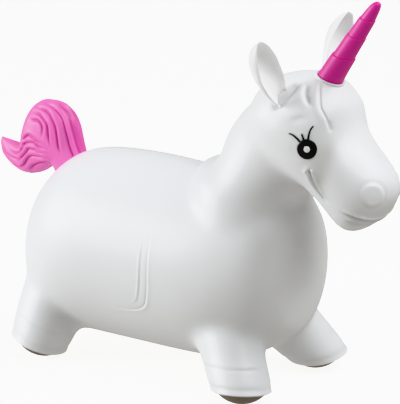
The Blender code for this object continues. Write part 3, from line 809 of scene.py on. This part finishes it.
class Line:
    """A crease or ridge line on the skin: its points, the bumps across it as (offset, half width,
    height), its headings, and its strength, which fades over a share of the line at each end."""

    def __init__(self, points, bumps, fade_in=0.0, fade_out=0.0, strength=1.0, closed=False):
        if closed:
            heading = np.roll(points, -1, axis=0) - np.roll(points, 1, axis=0)
        else:
            heading = np.gradient(points, axis=0)
        share = np.linspace(0, 1, len(points))
        self.points = points
        self.bumps = bumps
        self.narrowest = min(half for offset, half, high in bumps)
        self.spacing = np.linalg.norm(np.diff(points, axis=0), axis=1).mean()
        self.headings = unit(heading)
        self.strength = strength * fade(share, fade_in) * fade(1 - share, fade_out)


def fade(share, part):
    """0 where the share is 0, rising by the smooth step to 1 over this part of it."""
    return smooth_step(share / part) if part else np.ones(len(share))


def for_side(bumps, side):
    """The bumps of a line on this side: the tables give them for the right side, -1."""
    return [(-side * offset, half, high) for offset, half, high in bumps]


def head_point(along, crown, sideways):
    """A point from its place in the head."""
    return skull + head_ahead * along + head_crown * crown + LEFT * sideways


def head_relief(tree):
    """The lines of the head on both sides, laid on the skin."""
    lines = []
    for places, bumps, fade_in, fade_out in head_lines.values():
        for side in SIDES:
            points = np.array([head_point(a, c, side * s) for a, c, s in places])
            points = nearest_on_skin(tree, curve_points(points, line_points))
            lines.append(Line(points, for_side(bumps, side), fade_in, fade_out))
    return lines


def nostril_relief(tree):
    """An oval ring on each side of the muzzle: its middle plus half length times cosine along the
    muzzle plus half width times sine across it, laid on the skin."""
    turn = turns(nostril_points)[:, None]
    along, crown, sideways = nostril_middle
    lines = []
    for side in SIDES:
        middle = Vector(head_point(along, crown, side * sideways))
        spot, facing = (np.array(found) for found in tree.find_nearest(middle)[:2])
        level = unit(np.cross(facing, head_crown)) * side
        ring = (spot + level * nostril_half_length * np.cos(turn)
                + np.cross(facing, level) * nostril_half_width * np.sin(turn))
        lines.append(Line(nearest_on_skin(tree, ring), nostril_bumps, closed=True))
    return lines


def blanket_relief(tree):
    """The border of the moulded blanket on each flank, found by lines from the middle plane."""
    lines = []
    for places, bumps, fade_in, fade_out in blanket_lines.values():
        route = curve_points(np.array(places), blanket_points)
        for side in SIDES:
            points = np.array([on_skin(tree, (forward, 0, upward), (0, side, 0))[0]
                               for forward, upward in route])
            lines.append(Line(points, for_side(bumps, side), fade_in, fade_out))
    return lines


def leg_relief(tree):
    """Rings round each leg: a crease at the ankle, which fades as the cosine of the turn from the
    outer side falls, and a groove over the rim."""
    outer = smooth_step((np.cos(turns(ring_points)) - ankle_fade_end)
                        / (ankle_fade_start - ankle_fade_end))
    lines = []
    for end, side in FEET:
        rim, facing = foot_frame(end, side)
        outs = spokes(facing, LEFT * side, ring_points)
        for rise, bumps, strength in ((ankle_rise, ankle_bumps, outer),
                                      (rim_groove_rise, rim_groove_bumps, 1.0)):
            hub = rim - facing * rise
            points = np.array([on_skin(tree, hub, out)[0] for out in outs])
            lines.append(Line(points, bumps, strength=strength, closed=True))
    return lines


def round_horn(tree, seat, gap):
    """The ways out from the horn's axis, and where a ring at this gap from the horn lies on the
    forehead."""
    place, axis = seat
    outs = spokes(axis, FORWARD, ring_points)
    above = place + outs * (horn_base_radius + gap) + axis * horn_length / 2
    return outs, np.array([on_skin(tree, spot, -axis)[0] for spot in above])


def horn_relief(tree, seat):
    """A low swelling of the forehead that carries the horn."""
    points = round_horn(tree, seat, seat_clearance)[1]
    return [Line(points, horn_seat_bumps, closed=True)]


def near_line(points, line, reach):
    """The numbers of the points within reach of the line, and for each of them the number of the
    line's own point nearest to it."""
    low = line.points.min(axis=0) - reach
    high = line.points.max(axis=0) + reach
    inside = np.nonzero(((points > low) & (points < high)).all(axis=1))[0]
    boxed = points[inside]
    best = np.full(len(inside), reach ** 2)
    index = np.full(len(inside), -1)
    for number, spot in enumerate(line.points):
        distance = ((boxed - spot) ** 2).sum(axis=1)
        nearer = distance < best
        best[nearer] = distance[nearer]
        index[nearer] = number
    return inside[index >= 0], index[index >= 0]


def refined(item, lines):
    """Halve the faces near the narrow lines, and once more near the finest."""
    for other in bpy.context.selected_objects:
        other.select_set(False)
    bpy.context.view_layer.objects.active = item
    item.select_set(True)
    for widest, reach in refine_steps:
        mesh = item.data
        points = read_points(mesh)
        near = np.zeros(len(points), dtype=bool)
        for line in lines:
            if line.narrowest < widest:
                near[near_line(points, line, reach)[0]] = True
        corners = np.empty(len(mesh.edges) * 2, dtype=int)
        mesh.edges.foreach_get("vertices", corners)
        mesh.polygons.foreach_set("select", np.zeros(len(mesh.polygons), dtype=bool))
        mesh.vertices.foreach_set("select", near)
        mesh.edges.foreach_set("select", near[corners.reshape(-1, 2)].all(axis=1))
        bpy.ops.object.mode_set(mode="EDIT")
        bpy.ops.mesh.subdivide(number_cuts=1, smoothness=0, ngon=False)
        bpy.ops.object.mode_set(mode="OBJECT")
    item.select_set(False)


def relief_height(points, facings, lines):
    """How far the lines lift each point: the sum over their bumps of height times a bell curve of
    the distance across the line, faded along it and past its ends."""
    total = np.zeros(len(points))
    for line in lines:
        reach = max(abs(offset) + bell_reach * half for offset, half, high in line.bumps)
        near, index = near_line(points, line, reach)
        delta = points[near] - line.points[index]
        heading = line.headings[index]
        aside = (delta * unit(np.cross(facings[near], heading))).sum(axis=1)
        past = np.maximum(abs((delta * heading).sum(axis=1)) - line.spacing, 0)
        for offset, half, high in line.bumps:
            bell = np.exp(-((aside - offset) / half) ** 2 - (past / half) ** 2)
            total[near] += high * bell * line.strength[index]
    return total


def cut_feet(mesh, inset=0.0):
    """Cut the mesh by the plane of each sole, this far inside its rim and only round that foot,
    and close the cut."""
    for end, side in FEET:
        rim, facing = foot_frame(end, side)
        middle = rim - facing * inset
        close = np.linalg.norm(read_points(mesh) - middle, axis=1) < foot_reach
        form = bmesh.new()
        form.from_mesh(mesh)
        faces = [face for face in form.faces if all(close[corner.index] for corner in face.verts)]
        edges = {edge for face in faces for edge in face.edges}
        corners = {corner for face in faces for corner in face.verts}
        bmesh.ops.bisect_plane(form, geom=[*corners, *edges, *faces], dist=cut_closeness,
                               plane_co=Vector(middle), plane_no=Vector(facing),
                               clear_outer=True)
        open_edges = [edge for edge in form.edges if edge.is_boundary]
        bmesh.ops.holes_fill(form, edges=open_edges, sides=0)
        form.to_mesh(mesh)
        form.free()


def bead(middles, outs, rise):
    """An oval bead along a closed route: the middle plus out times cosine plus rise times sine."""
    roll = turns(bead_sides)[:, None]
    return ring_band(middles[:, None] + outs[:, None] * np.cos(roll) + rise * np.sin(roll))


def rim_beads():
    """A bead round each sole, half sunk in the flat end of the foot."""
    shells = []
    for end, side in FEET:
        rim, facing = foot_frame(end, side)
        outs = spokes(facing, LEFT, rim_points)
        middles = rim + outs * (sole_radius + rim_bead_radius)
        shells.append(bead(middles, outs * rim_bead_radius, facing * rim_bead_radius))
    return shells


def horn_collar(tree, seat):
    """A bead that stands on the forehead round the foot of the horn, taller than it is wide."""
    axis = seat[1]
    outs, middles = round_horn(tree, seat, seat_clearance + collar_bead_radius)
    return bead(middles + axis * collar_lift, outs * collar_bead_radius,
                axis * collar_half_height)


def turned_rings(outline, origin, axis, side, columns, tilt=0.0):
    """Rings of an outline of (radius, height) rows turned about an axis: the origin plus out times
    radius plus axis times height. Tilt slopes each ring towards the side, by its tangent times
    the distance that way."""
    outs = spokes(axis, side, columns)
    radius = outline[:, 0, None]
    height = outline[:, 1, None] + radius * np.cos(turns(columns)) * math.tan(tilt)
    return origin + outs * radius[..., None] + axis * height[..., None]


def rounded_outline(corners, radius):
    """Rows through the corners of a (radius, height) outline, with each inner corner rounded by
    the curve start (1-s)^2 + 2 corner s(1-s) + end s^2. It starts and ends this radius from the
    corner, or nearer where a side is short."""
    corners = np.array(corners, dtype=float)
    share = np.linspace(0, 1, corner_steps)[:, None]
    rows = [corners[:1]]
    for before, corner, after in zip(corners, corners[1:], corners[2:]):
        sides = [before - corner, after - corner]
        start, end = (corner + unit(side) * min(radius, np.linalg.norm(side) * corner_share)
                      for side in sides)
        rows.append(start * (1 - share) ** 2 + 2 * corner * share * (1 - share) + end * share ** 2)
    rows.append(corners[-1:])
    return np.concatenate(rows)


def valve_bore(place, out):
    """The round hole through the wall for the valve seat."""
    hole = seat_tube_radius + seat_clearance
    outline = np.array([(hole, -bore_reach), (hole, bore_reach)])
    return tube(turned_rings(outline, place, out, LEFT, boss_columns))


def valve_boss(place, out):
    """A low ring that stands on the rump round the valve, with rounded edges."""
    hole = seat_tube_radius + seat_clearance
    outline = rounded_outline(((hole, -skin_wall), (hole, boss_height), (boss_radius, boss_height),
                               (boss_radius + boss_spread, -skin_wall)), boss_edge)
    return ring_band(turned_rings(outline, place, out, LEFT, boss_columns))


def outer_skin(body, lines):
    """The body with finer faces near the lines, laid on a smoother copy of itself, lifted along
    its normals by the lines and cut flat at the feet."""
    guide = add_object("skin_guide", body.copy())
    smooth = guide.modifiers.new("smooth", "SUBSURF")
    smooth.levels = smooth.render_levels = guide_levels
    guide = add_object("skin_guide", applied(guide))
    skin = add_object("skin", body)
    refined(skin, lines)
    wrap = skin.modifiers.new("on the smooth copy", "SHRINKWRAP")
    wrap.target = guide
    mesh = applied(skin)
    bpy.data.objects.remove(guide, do_unlink=True)

    points = read_points(mesh)
    facings = read_points(mesh, "normal")
    height = relief_height(points, facings, lines)
    write_points(mesh, points + facings * height[:, None])
    # painted shade: this layer darkens the skin where its creases are deeper
    write_shares(mesh, "groove", np.clip(-height / crease_shade_depth, 0, 1))
    cut_feet(mesh)
    return mesh


def air_chamber():
    """The hollow of the skin: a coarser body drawn in along its normals, cut flat at the feet."""
    mesh = soft_body("air_chamber", chamber_voxel)
    write_points(mesh, read_points(mesh) - chamber_inset * read_points(mesh, "normal"))
    cut_feet(mesh, skin_wall)
    return mesh


def make_skin(white, body, tree, valve, horn_seat):
    """The skin: the outer skin less the air chamber and the valve's bore, with the beads round the
    soles and the horn and the boss round the valve."""
    lines = (head_relief(tree) + nostril_relief(tree) + horn_relief(tree, horn_seat)
             + blanket_relief(tree) + leg_relief(tree))
    skin = add_object("skin", outer_skin(body, lines))
    hollow = add_object("air_chamber", air_chamber())
    bore = add_object("valve_bore", mesh_of("valve_bore", valve_bore(*valve)))
    for cutter in (hollow, bore):
        cut = skin.modifiers.new(cutter.name, "BOOLEAN")
        cut.operation = "DIFFERENCE"
        cut.object = cutter
        cut.solver = "EXACT"
    mesh = applied(skin)
    bpy.data.objects.remove(hollow, do_unlink=True)
    bpy.data.objects.remove(bore, do_unlink=True)

    extras = [*rim_beads(), horn_collar(tree, horn_seat), valve_boss(*valve)]
    form = bmesh.new()
    form.from_mesh(mesh)
    form.from_mesh(mesh_of("beads", together(extras)))
    form.to_mesh(mesh)
    form.free()
    mesh.shade_smooth()
    mesh.set_sharp_from_angle(angle=skin_sharp_angle)
    dressed(add_object("skin_moulding", mesh), white, "toy", "body_skin")


def make_horn(pink, seat):
    """The horn: its stepped outline turned about its axis, the rings tilted to lie flatter than
    square."""
    place, axis = seat
    along, wide, steps = smooth_rows(horn_shares, horn_rows).T
    span = horn_base_radius - horn_tip_radius
    radius = horn_tip_radius + wide * span - steps * horn_step
    outline = np.stack([radius, along * horn_length], axis=1)
    rings = turned_rings(outline, place, axis, FORWARD, horn_columns, horn_ring_tilt)
    horn = add_object("horn_stepped", mesh_of("horn", tube(rings)))
    dressed(horn, pink, "toy", "horn")


def tail_point(forward, upward):
    """Points of the middle plane from their shares of the tail's reach and height."""
    return tail_root + FORWARD * (forward * tail_reach) + UP * (upward * tail_height)


def lock_relief():
    """The valleys between the tail's locks, as lines in the middle plane."""
    lines = []
    for places, fade_in, fade_out in lock_lines:
        route = curve_points(tail_point(*np.array(places).T[..., None]), line_points)
        lines.append(Line(route, lock_bumps, fade_in, fade_out))
    return lines


def make_tail(pink):
    """The plume: at each section an oval, centre plus spread times cosine plus sideways half
    width times sine of the turn, then lifted along its normal by the lines of the locks, which
    run straight through the tail from side to side and fade where it is thin."""
    front_x, front_z, rear_x, rear_z, wide = smooth_rows(tail_shares, tail_rows).T[..., None]
    front = tail_point(front_x, front_z)[:, None]
    rear = tail_point(rear_x, rear_z)[:, None]
    turn = turns(tail_columns)[None, :, None]
    rings = ((front + rear) / 2 + (front - rear) / 2 * np.cos(turn)
             + LEFT * (wide[..., None] * tail_width / 2 * np.sin(turn)))
    mesh = mesh_of("tail", tube(rings))
    points = read_points(mesh)
    thick = np.append(np.repeat(np.minimum(wide / lock_full_width, 1), tail_columns), [0, 0])
    height = thick * relief_height(points * (FORWARD + UP), np.broadcast_to(-LEFT, points.shape),
                                   lock_relief())
    write_points(mesh, points + read_points(mesh, "normal") * height[:, None])
    # painted shade: this layer darkens the tail in the valleys between its locks
    write_shares(mesh, "groove", np.clip(-height / lock_shade_depth, 0, 1))
    dressed(add_object("tail_plume", mesh), pink, "toy", "tail")


def make_ear(white, side):
    """A cup that opens forwards: a half oval across the ear, its wall as thick as ear_wall in the
    middle and rounded to nothing at the two lips, the inner lip flared out near the root by a
    bell curve of the way up the ear."""
    along, wide, deep = smooth_rows(ear_shares, ear_rows).T
    root = skull + np.array([-ear_root_back, side * ear_root_out_share * head_width / 2,
                             ear_root_up_share * head_depth])
    axis = unit(np.array([math.sin(ear_lean_forward), side * math.sin(ear_lean_out),
                          math.cos(ear_lean_out)]))
    opening = np.array([math.cos(ear_turn_in), -side * math.sin(ear_turn_in), 0])
    opening = unit(opening - axis * (opening * axis).sum())
    across = np.cross(axis, opening) * side
    turn = np.linspace(0, math.pi, ear_columns)
    width = (wide * ear_width - ear_wall * ear_lip_share)[:, None] / 2
    depth = (deep * ear_depth - ear_wall / 2)[:, None]
    flare = ear_lip_flare * np.exp(-((along - ear_flare_at) / ear_flare_spread) ** 2)[:, None]
    aside = width * np.cos(turn) - flare * np.maximum(-np.cos(turn), 0)
    middle = np.stack([-depth * np.sin(turn), aside], axis=-1)
    tangent = unit(np.stack([-depth * np.cos(turn), -width * np.sin(turn)], axis=-1))
    normal = np.stack([-tangent[..., 1], tangent[..., 0]], axis=-1)
    lip = np.sqrt(np.maximum(1 - abs(np.linspace(-1, 1, ear_columns)) ** ear_lip_power, 0))
    thin = np.minimum(1, ear_tip_wall_share + wide)[:, None] * ear_wall / 2 * lip
    outer = middle - normal * thin[..., None]
    inner = middle + normal * thin[..., None]
    loop = np.concatenate([outer, inner[:, ::-1][:, 1:-1]], axis=1)
    rings = (root + opening * loop[..., :1] + across * loop[..., 1:]
             + axis * (along * ear_length)[:, None, None])
    leaf = add_object(f"ear_leaf_{SIDES[side]}", mesh_of("ear", tube(rings)))
    dressed(leaf, white, "toy", f"ear_{SIDES[side]}")


def make_sole(brown, end, side):
    """A dome under the foot: radius times sine, and rise less radius times 1 - cosine, with every
    point kept at or above the floor. Its dark brown finish is painted shade."""
    name = f"sole_{ENDS[end]}_{SIDES[side]}"
    rim, facing = foot_frame(end, side)
    sweep = math.asin(sole_radius / dome_radius)
    turn = np.linspace(sweep, sole_pole_share * sweep, sole_rows)
    dome = np.stack([dome_radius * np.sin(turn),
                     sole_rise - dome_radius * (1 - np.cos(turn))], axis=1)
    sunk = np.array([[sole_radius * share, height] for share, height in sole_sunk_rows])
    rings = turned_rings(np.concatenate([sunk, dome]), rim, facing, FORWARD, sole_columns)
    points, faces = tube(rings)
    points[:, 2] = np.maximum(points[:, 2], 0)
    sole = add_object(f"{name}_dome", mesh_of(name, (points, faces)))
    dressed(sole, brown, "toy", name)


def eye_patch(spot, facing, rows):
    """Points of a flat patch on the skin: the spot plus ahead and above times each row's two
    numbers."""
    ahead = unit(FORWARD - facing * facing[0])
    above = np.cross(facing, ahead)
    above = above if above[2] > 0 else -above
    return spot + ahead * rows[..., :1] + above * rows[..., 1:]


def disc_shell(spot, facing, radius):
    """A flat round disc: radius times share times cosine and sine of the turn, with its middle
    closed by a fan."""
    share = np.linspace(0, 1, disc_rings + 1)[1:, None]
    turn = turns(disc_columns)
    rows = np.stack([radius * share * np.cos(turn), radius * share * np.sin(turn)], axis=-1)
    points = np.concatenate([eye_patch(spot, facing, rows).reshape(-1, 3), spot[None]])
    grid = np.arange(disc_rings * disc_columns).reshape(disc_rings, disc_columns)
    return points, [quads_of(grid), fan_of(grid[0], grid.size)]


def lash_shell(spot, facing, place, long, bend):
    """A ribbon that leaves the disc's edge and bends more and more: its heading is the place plus
    the bend times the share squared, its width falls steadily, and its tip is rounded."""
    place = math.radians(place)
    share = np.linspace(0, 1, lash_rows)
    heading = place + math.radians(bend) * share ** 2
    step = long * lash_length / (lash_rows - 1)
    way = np.stack([np.cos(heading), np.sin(heading)], axis=1)
    foot = lash_foot_share * eye_radius * np.array([math.cos(place), math.sin(place)])
    middle = foot + np.concatenate([[[0, 0]], np.cumsum(way[:-1] * step, axis=0)])
    beside = np.stack([-way[:, 1], way[:, 0]], axis=1)
    to_tip = np.maximum((share - 1) * lash_round_parts + 1, 0)
    blunt = np.sqrt(np.maximum(1 - to_tip ** 2, lash_tip_share ** 2))
    half = lash_width / 2 * (1 - lash_taper * share) * blunt
    aside = np.linspace(-1, 1, lash_columns)
    rows = middle[:, None] + beside[:, None] * (half[:, None] * aside)[..., None]
    points = eye_patch(spot, facing, rows).reshape(-1, 3)
    grid = np.arange(len(points)).reshape(lash_rows, lash_columns)
    return points, [quads_of(grid, closed=())]


def faced(shell, facing):
    """The shell with each face turned to face outwards."""
    points, faces = shell
    first, second, third = points[faces[0][0][:3]]
    outwards = (np.cross(second - first, third - second) * facing).sum() > 0
    return points, faces if outwards else [part[:, ::-1] for part in faces]


def print_film(name, shells, facing, skin, lift):
    """Lay flat shells on the skin and give them the thickness of the print."""
    shells = [faced(shell, facing) for shell in shells]
    item = add_object(name, mesh_of(name, together(shells)))
    wrap = item.modifiers.new("on the skin", "SHRINKWRAP")
    wrap.target = skin
    wrap.wrap_method = "PROJECT"
    wrap.use_negative_direction = True
    wrap.use_positive_direction = True
    wrap.offset = lift
    film = item.modifiers.new("film", "SOLIDIFY")
    film.thickness = eye_film
    film.offset = -1
    return add_object(name, applied(item))


def make_eyes(tree, skin, black, white):
    """On each side the printed disc with its three lashes, and the dot printed over it, which
    takes its second tone towards its middle."""
    start = head_point(eye_along_share * head_length, eye_up_share * head_depth, 0)
    for side, side_name in SIDES.items():
        aim = (math.cos(eye_bearing), side * math.sin(eye_bearing), 0)
        spot, facing = on_skin(tree, start, aim)
        shells = [disc_shell(spot, facing, eye_radius)]
        shells.extend(lash_shell(spot, facing, *lash) for lash in lash_shares)
        eye = print_film(f"eye_{side_name}", shells, facing, skin, eye_lift)
        dressed(eye, black, "toy", f"eye_print_{side_name}")
        disc = disc_shell(spot, facing, eye_glint_radius)
        dot = print_film(f"eye_dot_{side_name}", [disc], facing, skin, eye_dot_lift)
        away = np.linalg.norm(read_points(dot.data) - spot, axis=1) / eye_glint_radius
        write_shares(dot.data, "middle", eye_dot_tone * smooth_step(1 - away / eye_dot_middle))
        dressed(dot, white, "toy", f"eye_glint_{side_name}")


def tab_shell(foot, out):
    """A flat tab with a round end: its outline shrunk in steps towards each face, and raised by
    half the height times the sine of the step."""
    half = tab_width / 2
    turn = np.linspace(-math.pi / 2, math.pi / 2, tab_end_points)
    end = np.stack([tab_length - half + half * np.cos(turn), half * np.sin(turn)], axis=1)
    outline = np.concatenate([[[0, -half]], end, [[0, half]]])
    middle = np.array([tab_length / 2, 0])
    bend = np.linspace(-math.pi / 2, math.pi / 2, tab_rows)[:, None, None]
    flat = middle + (outline - middle) * (1 - tab_edge * (1 - np.cos(bend)) / half)
    rise = tab_height / 2 * np.sin(bend)
    return tube(foot + out * flat[..., :1] + LEFT * flat[..., 1:] + UP * rise)


def make_valve(white, place, out):
    """The soft seat that lines the bore, and the plug with its round head and pull tab."""
    face = boss_height + seat_clearance
    top = face + seat_flange_height
    seat_foot = face - seat_tube_length
    outline = rounded_outline(((bore_radius, face), (bore_radius, seat_foot),
                               (seat_tube_radius, seat_foot), (seat_tube_radius, face),
                               (seat_flange_radius, face), (seat_flange_radius, top),
                               (bore_radius, top), (bore_radius, face)), seat_edge)
    band = ring_band(turned_rings(outline[:-1], place, out, LEFT, valve_columns))
    seat = add_object("valve_collar", mesh_of("valve_seat", band))
    dressed(seat, white, "toy", "valve_seat")

    head = top + seat_clearance
    cap = head + plug_head_height
    stem = bore_radius - seat_clearance
    tip = head - plug_stem_length
    outline = rounded_outline(((pole_radius, tip), (plug_tip_radius, tip),
                               (stem, (head + tip) / 2), (stem, head), (plug_head_radius, head),
                               (plug_head_radius, cap), (pole_radius, cap)), plug_edge)
    plug = tube(turned_rings(outline, place, out, LEFT, valve_columns))
    tab = tab_shell(place + out * (cap - tab_sunk), out)
    mesh = mesh_of("valve_plug", together([plug, tab]))
    mesh.set_sharp_from_angle(angle=plug_sharp_angle)
    dressed(add_object("valve_stopper", mesh), white, "plug", "valve_plug")


def filled(tree, node, sockets):
    """The node with each socket named joined to another node's socket or given a value."""
    for key, value in sockets.items():
        if isinstance(value, bpy.types.NodeSocket):
            tree.links.new(value, node.inputs[key])
        else:
            node.inputs[key].default_value = value
    return node


def mixed(tree, share, first, second):
    """The first tone mixed with the second by this share."""
    mix = tree.nodes.new("ShaderNodeMix")
    mix.data_type = "RGBA"
    return filled(tree, mix, {0: share, 6: first, 7: second}).outputs[2]


def vinyl(name, tone, roughness, layer=None, second=None, sheen=0.0, coat=0.15, glow=0.0):
    """Soft moulded vinyl: its tone mixed by a slow cloud pattern with a slightly darker one, then
    with a second tone by a layer of the mesh, which on the skin and the tail is painted shade in
    the creases and valleys, and a fine moulded grain as bump. Glow is how much light a thin wall
    lets through."""
    made = bpy.data.materials.new(name)
    made.use_nodes = True
    tree = made.node_tree
    place = tree.nodes.new("ShaderNodeTexCoord").outputs["Object"]
    cloud = filled(tree, tree.nodes.new("ShaderNodeTexNoise"),
                   {"Vector": place, "Scale": cloud_scale, "Detail": cloud_detail})
    darker = [cloud_tone * part for part in tone]
    colour = mixed(tree, cloud.outputs["Fac"], (*tone, 1), (*darker, 1))
    if layer:
        share = tree.nodes.new("ShaderNodeAttribute")
        share.attribute_name = layer
        colour = mixed(tree, share.outputs["Fac"], colour, (*second, 1))
    grain = filled(tree, tree.nodes.new("ShaderNodeTexNoise"),
                   {"Vector": place, "Scale": grain_scale, "Detail": grain_detail})
    bump = filled(tree, tree.nodes.new("ShaderNodeBump"),
                  {"Height": grain.outputs["Fac"], "Strength": grain_strength,
                   "Distance": grain_depth})
    filled(tree, tree.nodes["Principled BSDF"], {
        "Base Color": colour, "Normal": bump.outputs["Normal"], "Roughness": roughness,
        "IOR": vinyl_ior, "Coat Weight": coat, "Coat Roughness": coat_roughness,
        "Sheen Weight": sheen, "Sheen Roughness": sheen_roughness, "Subsurface Weight": glow,
        "Subsurface Radius": (1, 1, 1), "Subsurface Scale": glow_reach})
    return made


def plain_floor():
    """A wide pale table top, lit through from below, that throws no light back at the toy."""
    half = floor_half
    points = np.array([(-half, -half, 0), (half, -half, 0), (half, half, 0), (-half, half, 0)])
    floor = add_object("floor", mesh_of("floor", (points, [np.array([[0, 1, 2, 3]])])))
    made = bpy.data.materials.new("pale_floor")
    made.use_nodes = True
    filled(made.node_tree, made.node_tree.nodes["Principled BSDF"], {
        "Base Color": floor_colour, "Roughness": floor_roughness,
        "Emission Color": (1, 1, 1, 1), "Emission Strength": floor_glow})
    floor.data.materials.append(made)
    floor.visible_diffuse = False
    floor.visible_glossy = False


def way_from_toy(bearing, elevation):
    """The way out from the toy at this bearing, measured from its right side (-Y) towards its
    muzzle (+X), and this elevation: (sin b cos e, -cos b cos e, sin e)."""
    return Vector((math.sin(bearing) * math.cos(elevation),
                   -math.cos(bearing) * math.cos(elevation), math.sin(elevation)))


def aimed(name, data, aim, way, distance):
    """A lamp or camera at the aim plus the distance times the way out, facing the aim."""
    item = add_object(name, data)
    item.location = Vector(aim) + way * distance
    item.rotation_euler = (-way).to_track_quat("-Z", "Y").to_euler()
    return item


def soft_light(name, bearing, elevation, power):
    """A round soft lamp at its bearing from the camera's own and its elevation, facing the toy."""
    lamp = bpy.data.lights.new(name, "AREA")
    lamp.shape = "DISK"
    lamp.size = lamp_width
    lamp.energy = power
    lamp.color = lamp_colour
    way = way_from_toy(camera_azimuth + math.radians(bearing), math.radians(elevation))
    aimed(name, lamp, lamp_aim, way, lamp_distance)


def studio():
    """A white room, brighter below than above, with a large lamp low on the camera's left and
    two weaker ones high on its right, shown with a plain curve that keeps white white."""
    world = bpy.data.worlds.new("white_room")
    world.use_nodes = True
    tree = world.node_tree
    way = tree.nodes.new("ShaderNodeTexCoord").outputs["Generated"]
    split = filled(tree, tree.nodes.new("ShaderNodeSeparateXYZ"), {0: way})
    rise = filled(tree, tree.nodes.new("ShaderNodeMapRange"), {
        "Value": split.outputs["Z"], "From Min": -room_blend, "From Max": room_blend,
        "To Min": room_light_below, "To Max": room_light_above})
    filled(tree, tree.nodes["Background"],
           {"Color": room_colour, "Strength": rise.outputs["Result"]})
    scene = bpy.context.scene
    scene.world = world
    scene.view_settings.view_transform = "Khronos PBR Neutral"
    for lamp in studio_lamps:
        soft_light(*lamp)


def make_camera():
    """The camera at the photograph's angle."""
    data = bpy.data.cameras.new("camera")
    data.lens = camera_lens
    data.sensor_width = camera_sensor
    data.clip_end = camera_sight
    way = way_from_toy(camera_azimuth, camera_elevation)
    bpy.context.scene.camera = aimed("camera", data, camera_aim, way, camera_distance)


def build():
    """Make the camera, the finishes, every piece and the studio."""
    make_camera()
    finish = {name: vinyl(name, **values) for name, values in finishes.items()}
    white = finish["white_satin"]

    body = soft_body("body_guide", skin_voxel)
    tree = tree_of(body)
    guide = add_object("body_guide", body)
    out = -FORWARD
    place = on_skin(tree, (0, 0, valve_height), out)[0]
    axis = np.array([math.sin(horn_lean), 0, math.cos(horn_lean)])
    seat = on_skin(tree, skull + FORWARD * horn_forward, axis)[0], axis

    make_skin(white, body.copy(), tree, (place, out), seat)
    make_horn(finish["pink_horn"], seat)
    make_tail(finish["pink_satin"])
    for side in SIDES:
        make_ear(finish["white_ear"], side)
    for end, side in FEET:
        make_sole(finish["sole_painted_shade"], end, side)
    make_eyes(tree, guide, finish["black_ink"], finish["white_ink"])
    make_valve(white, place, out)
    bpy.data.objects.remove(guide, do_unlink=True)
    plain_floor()
    studio()


build()
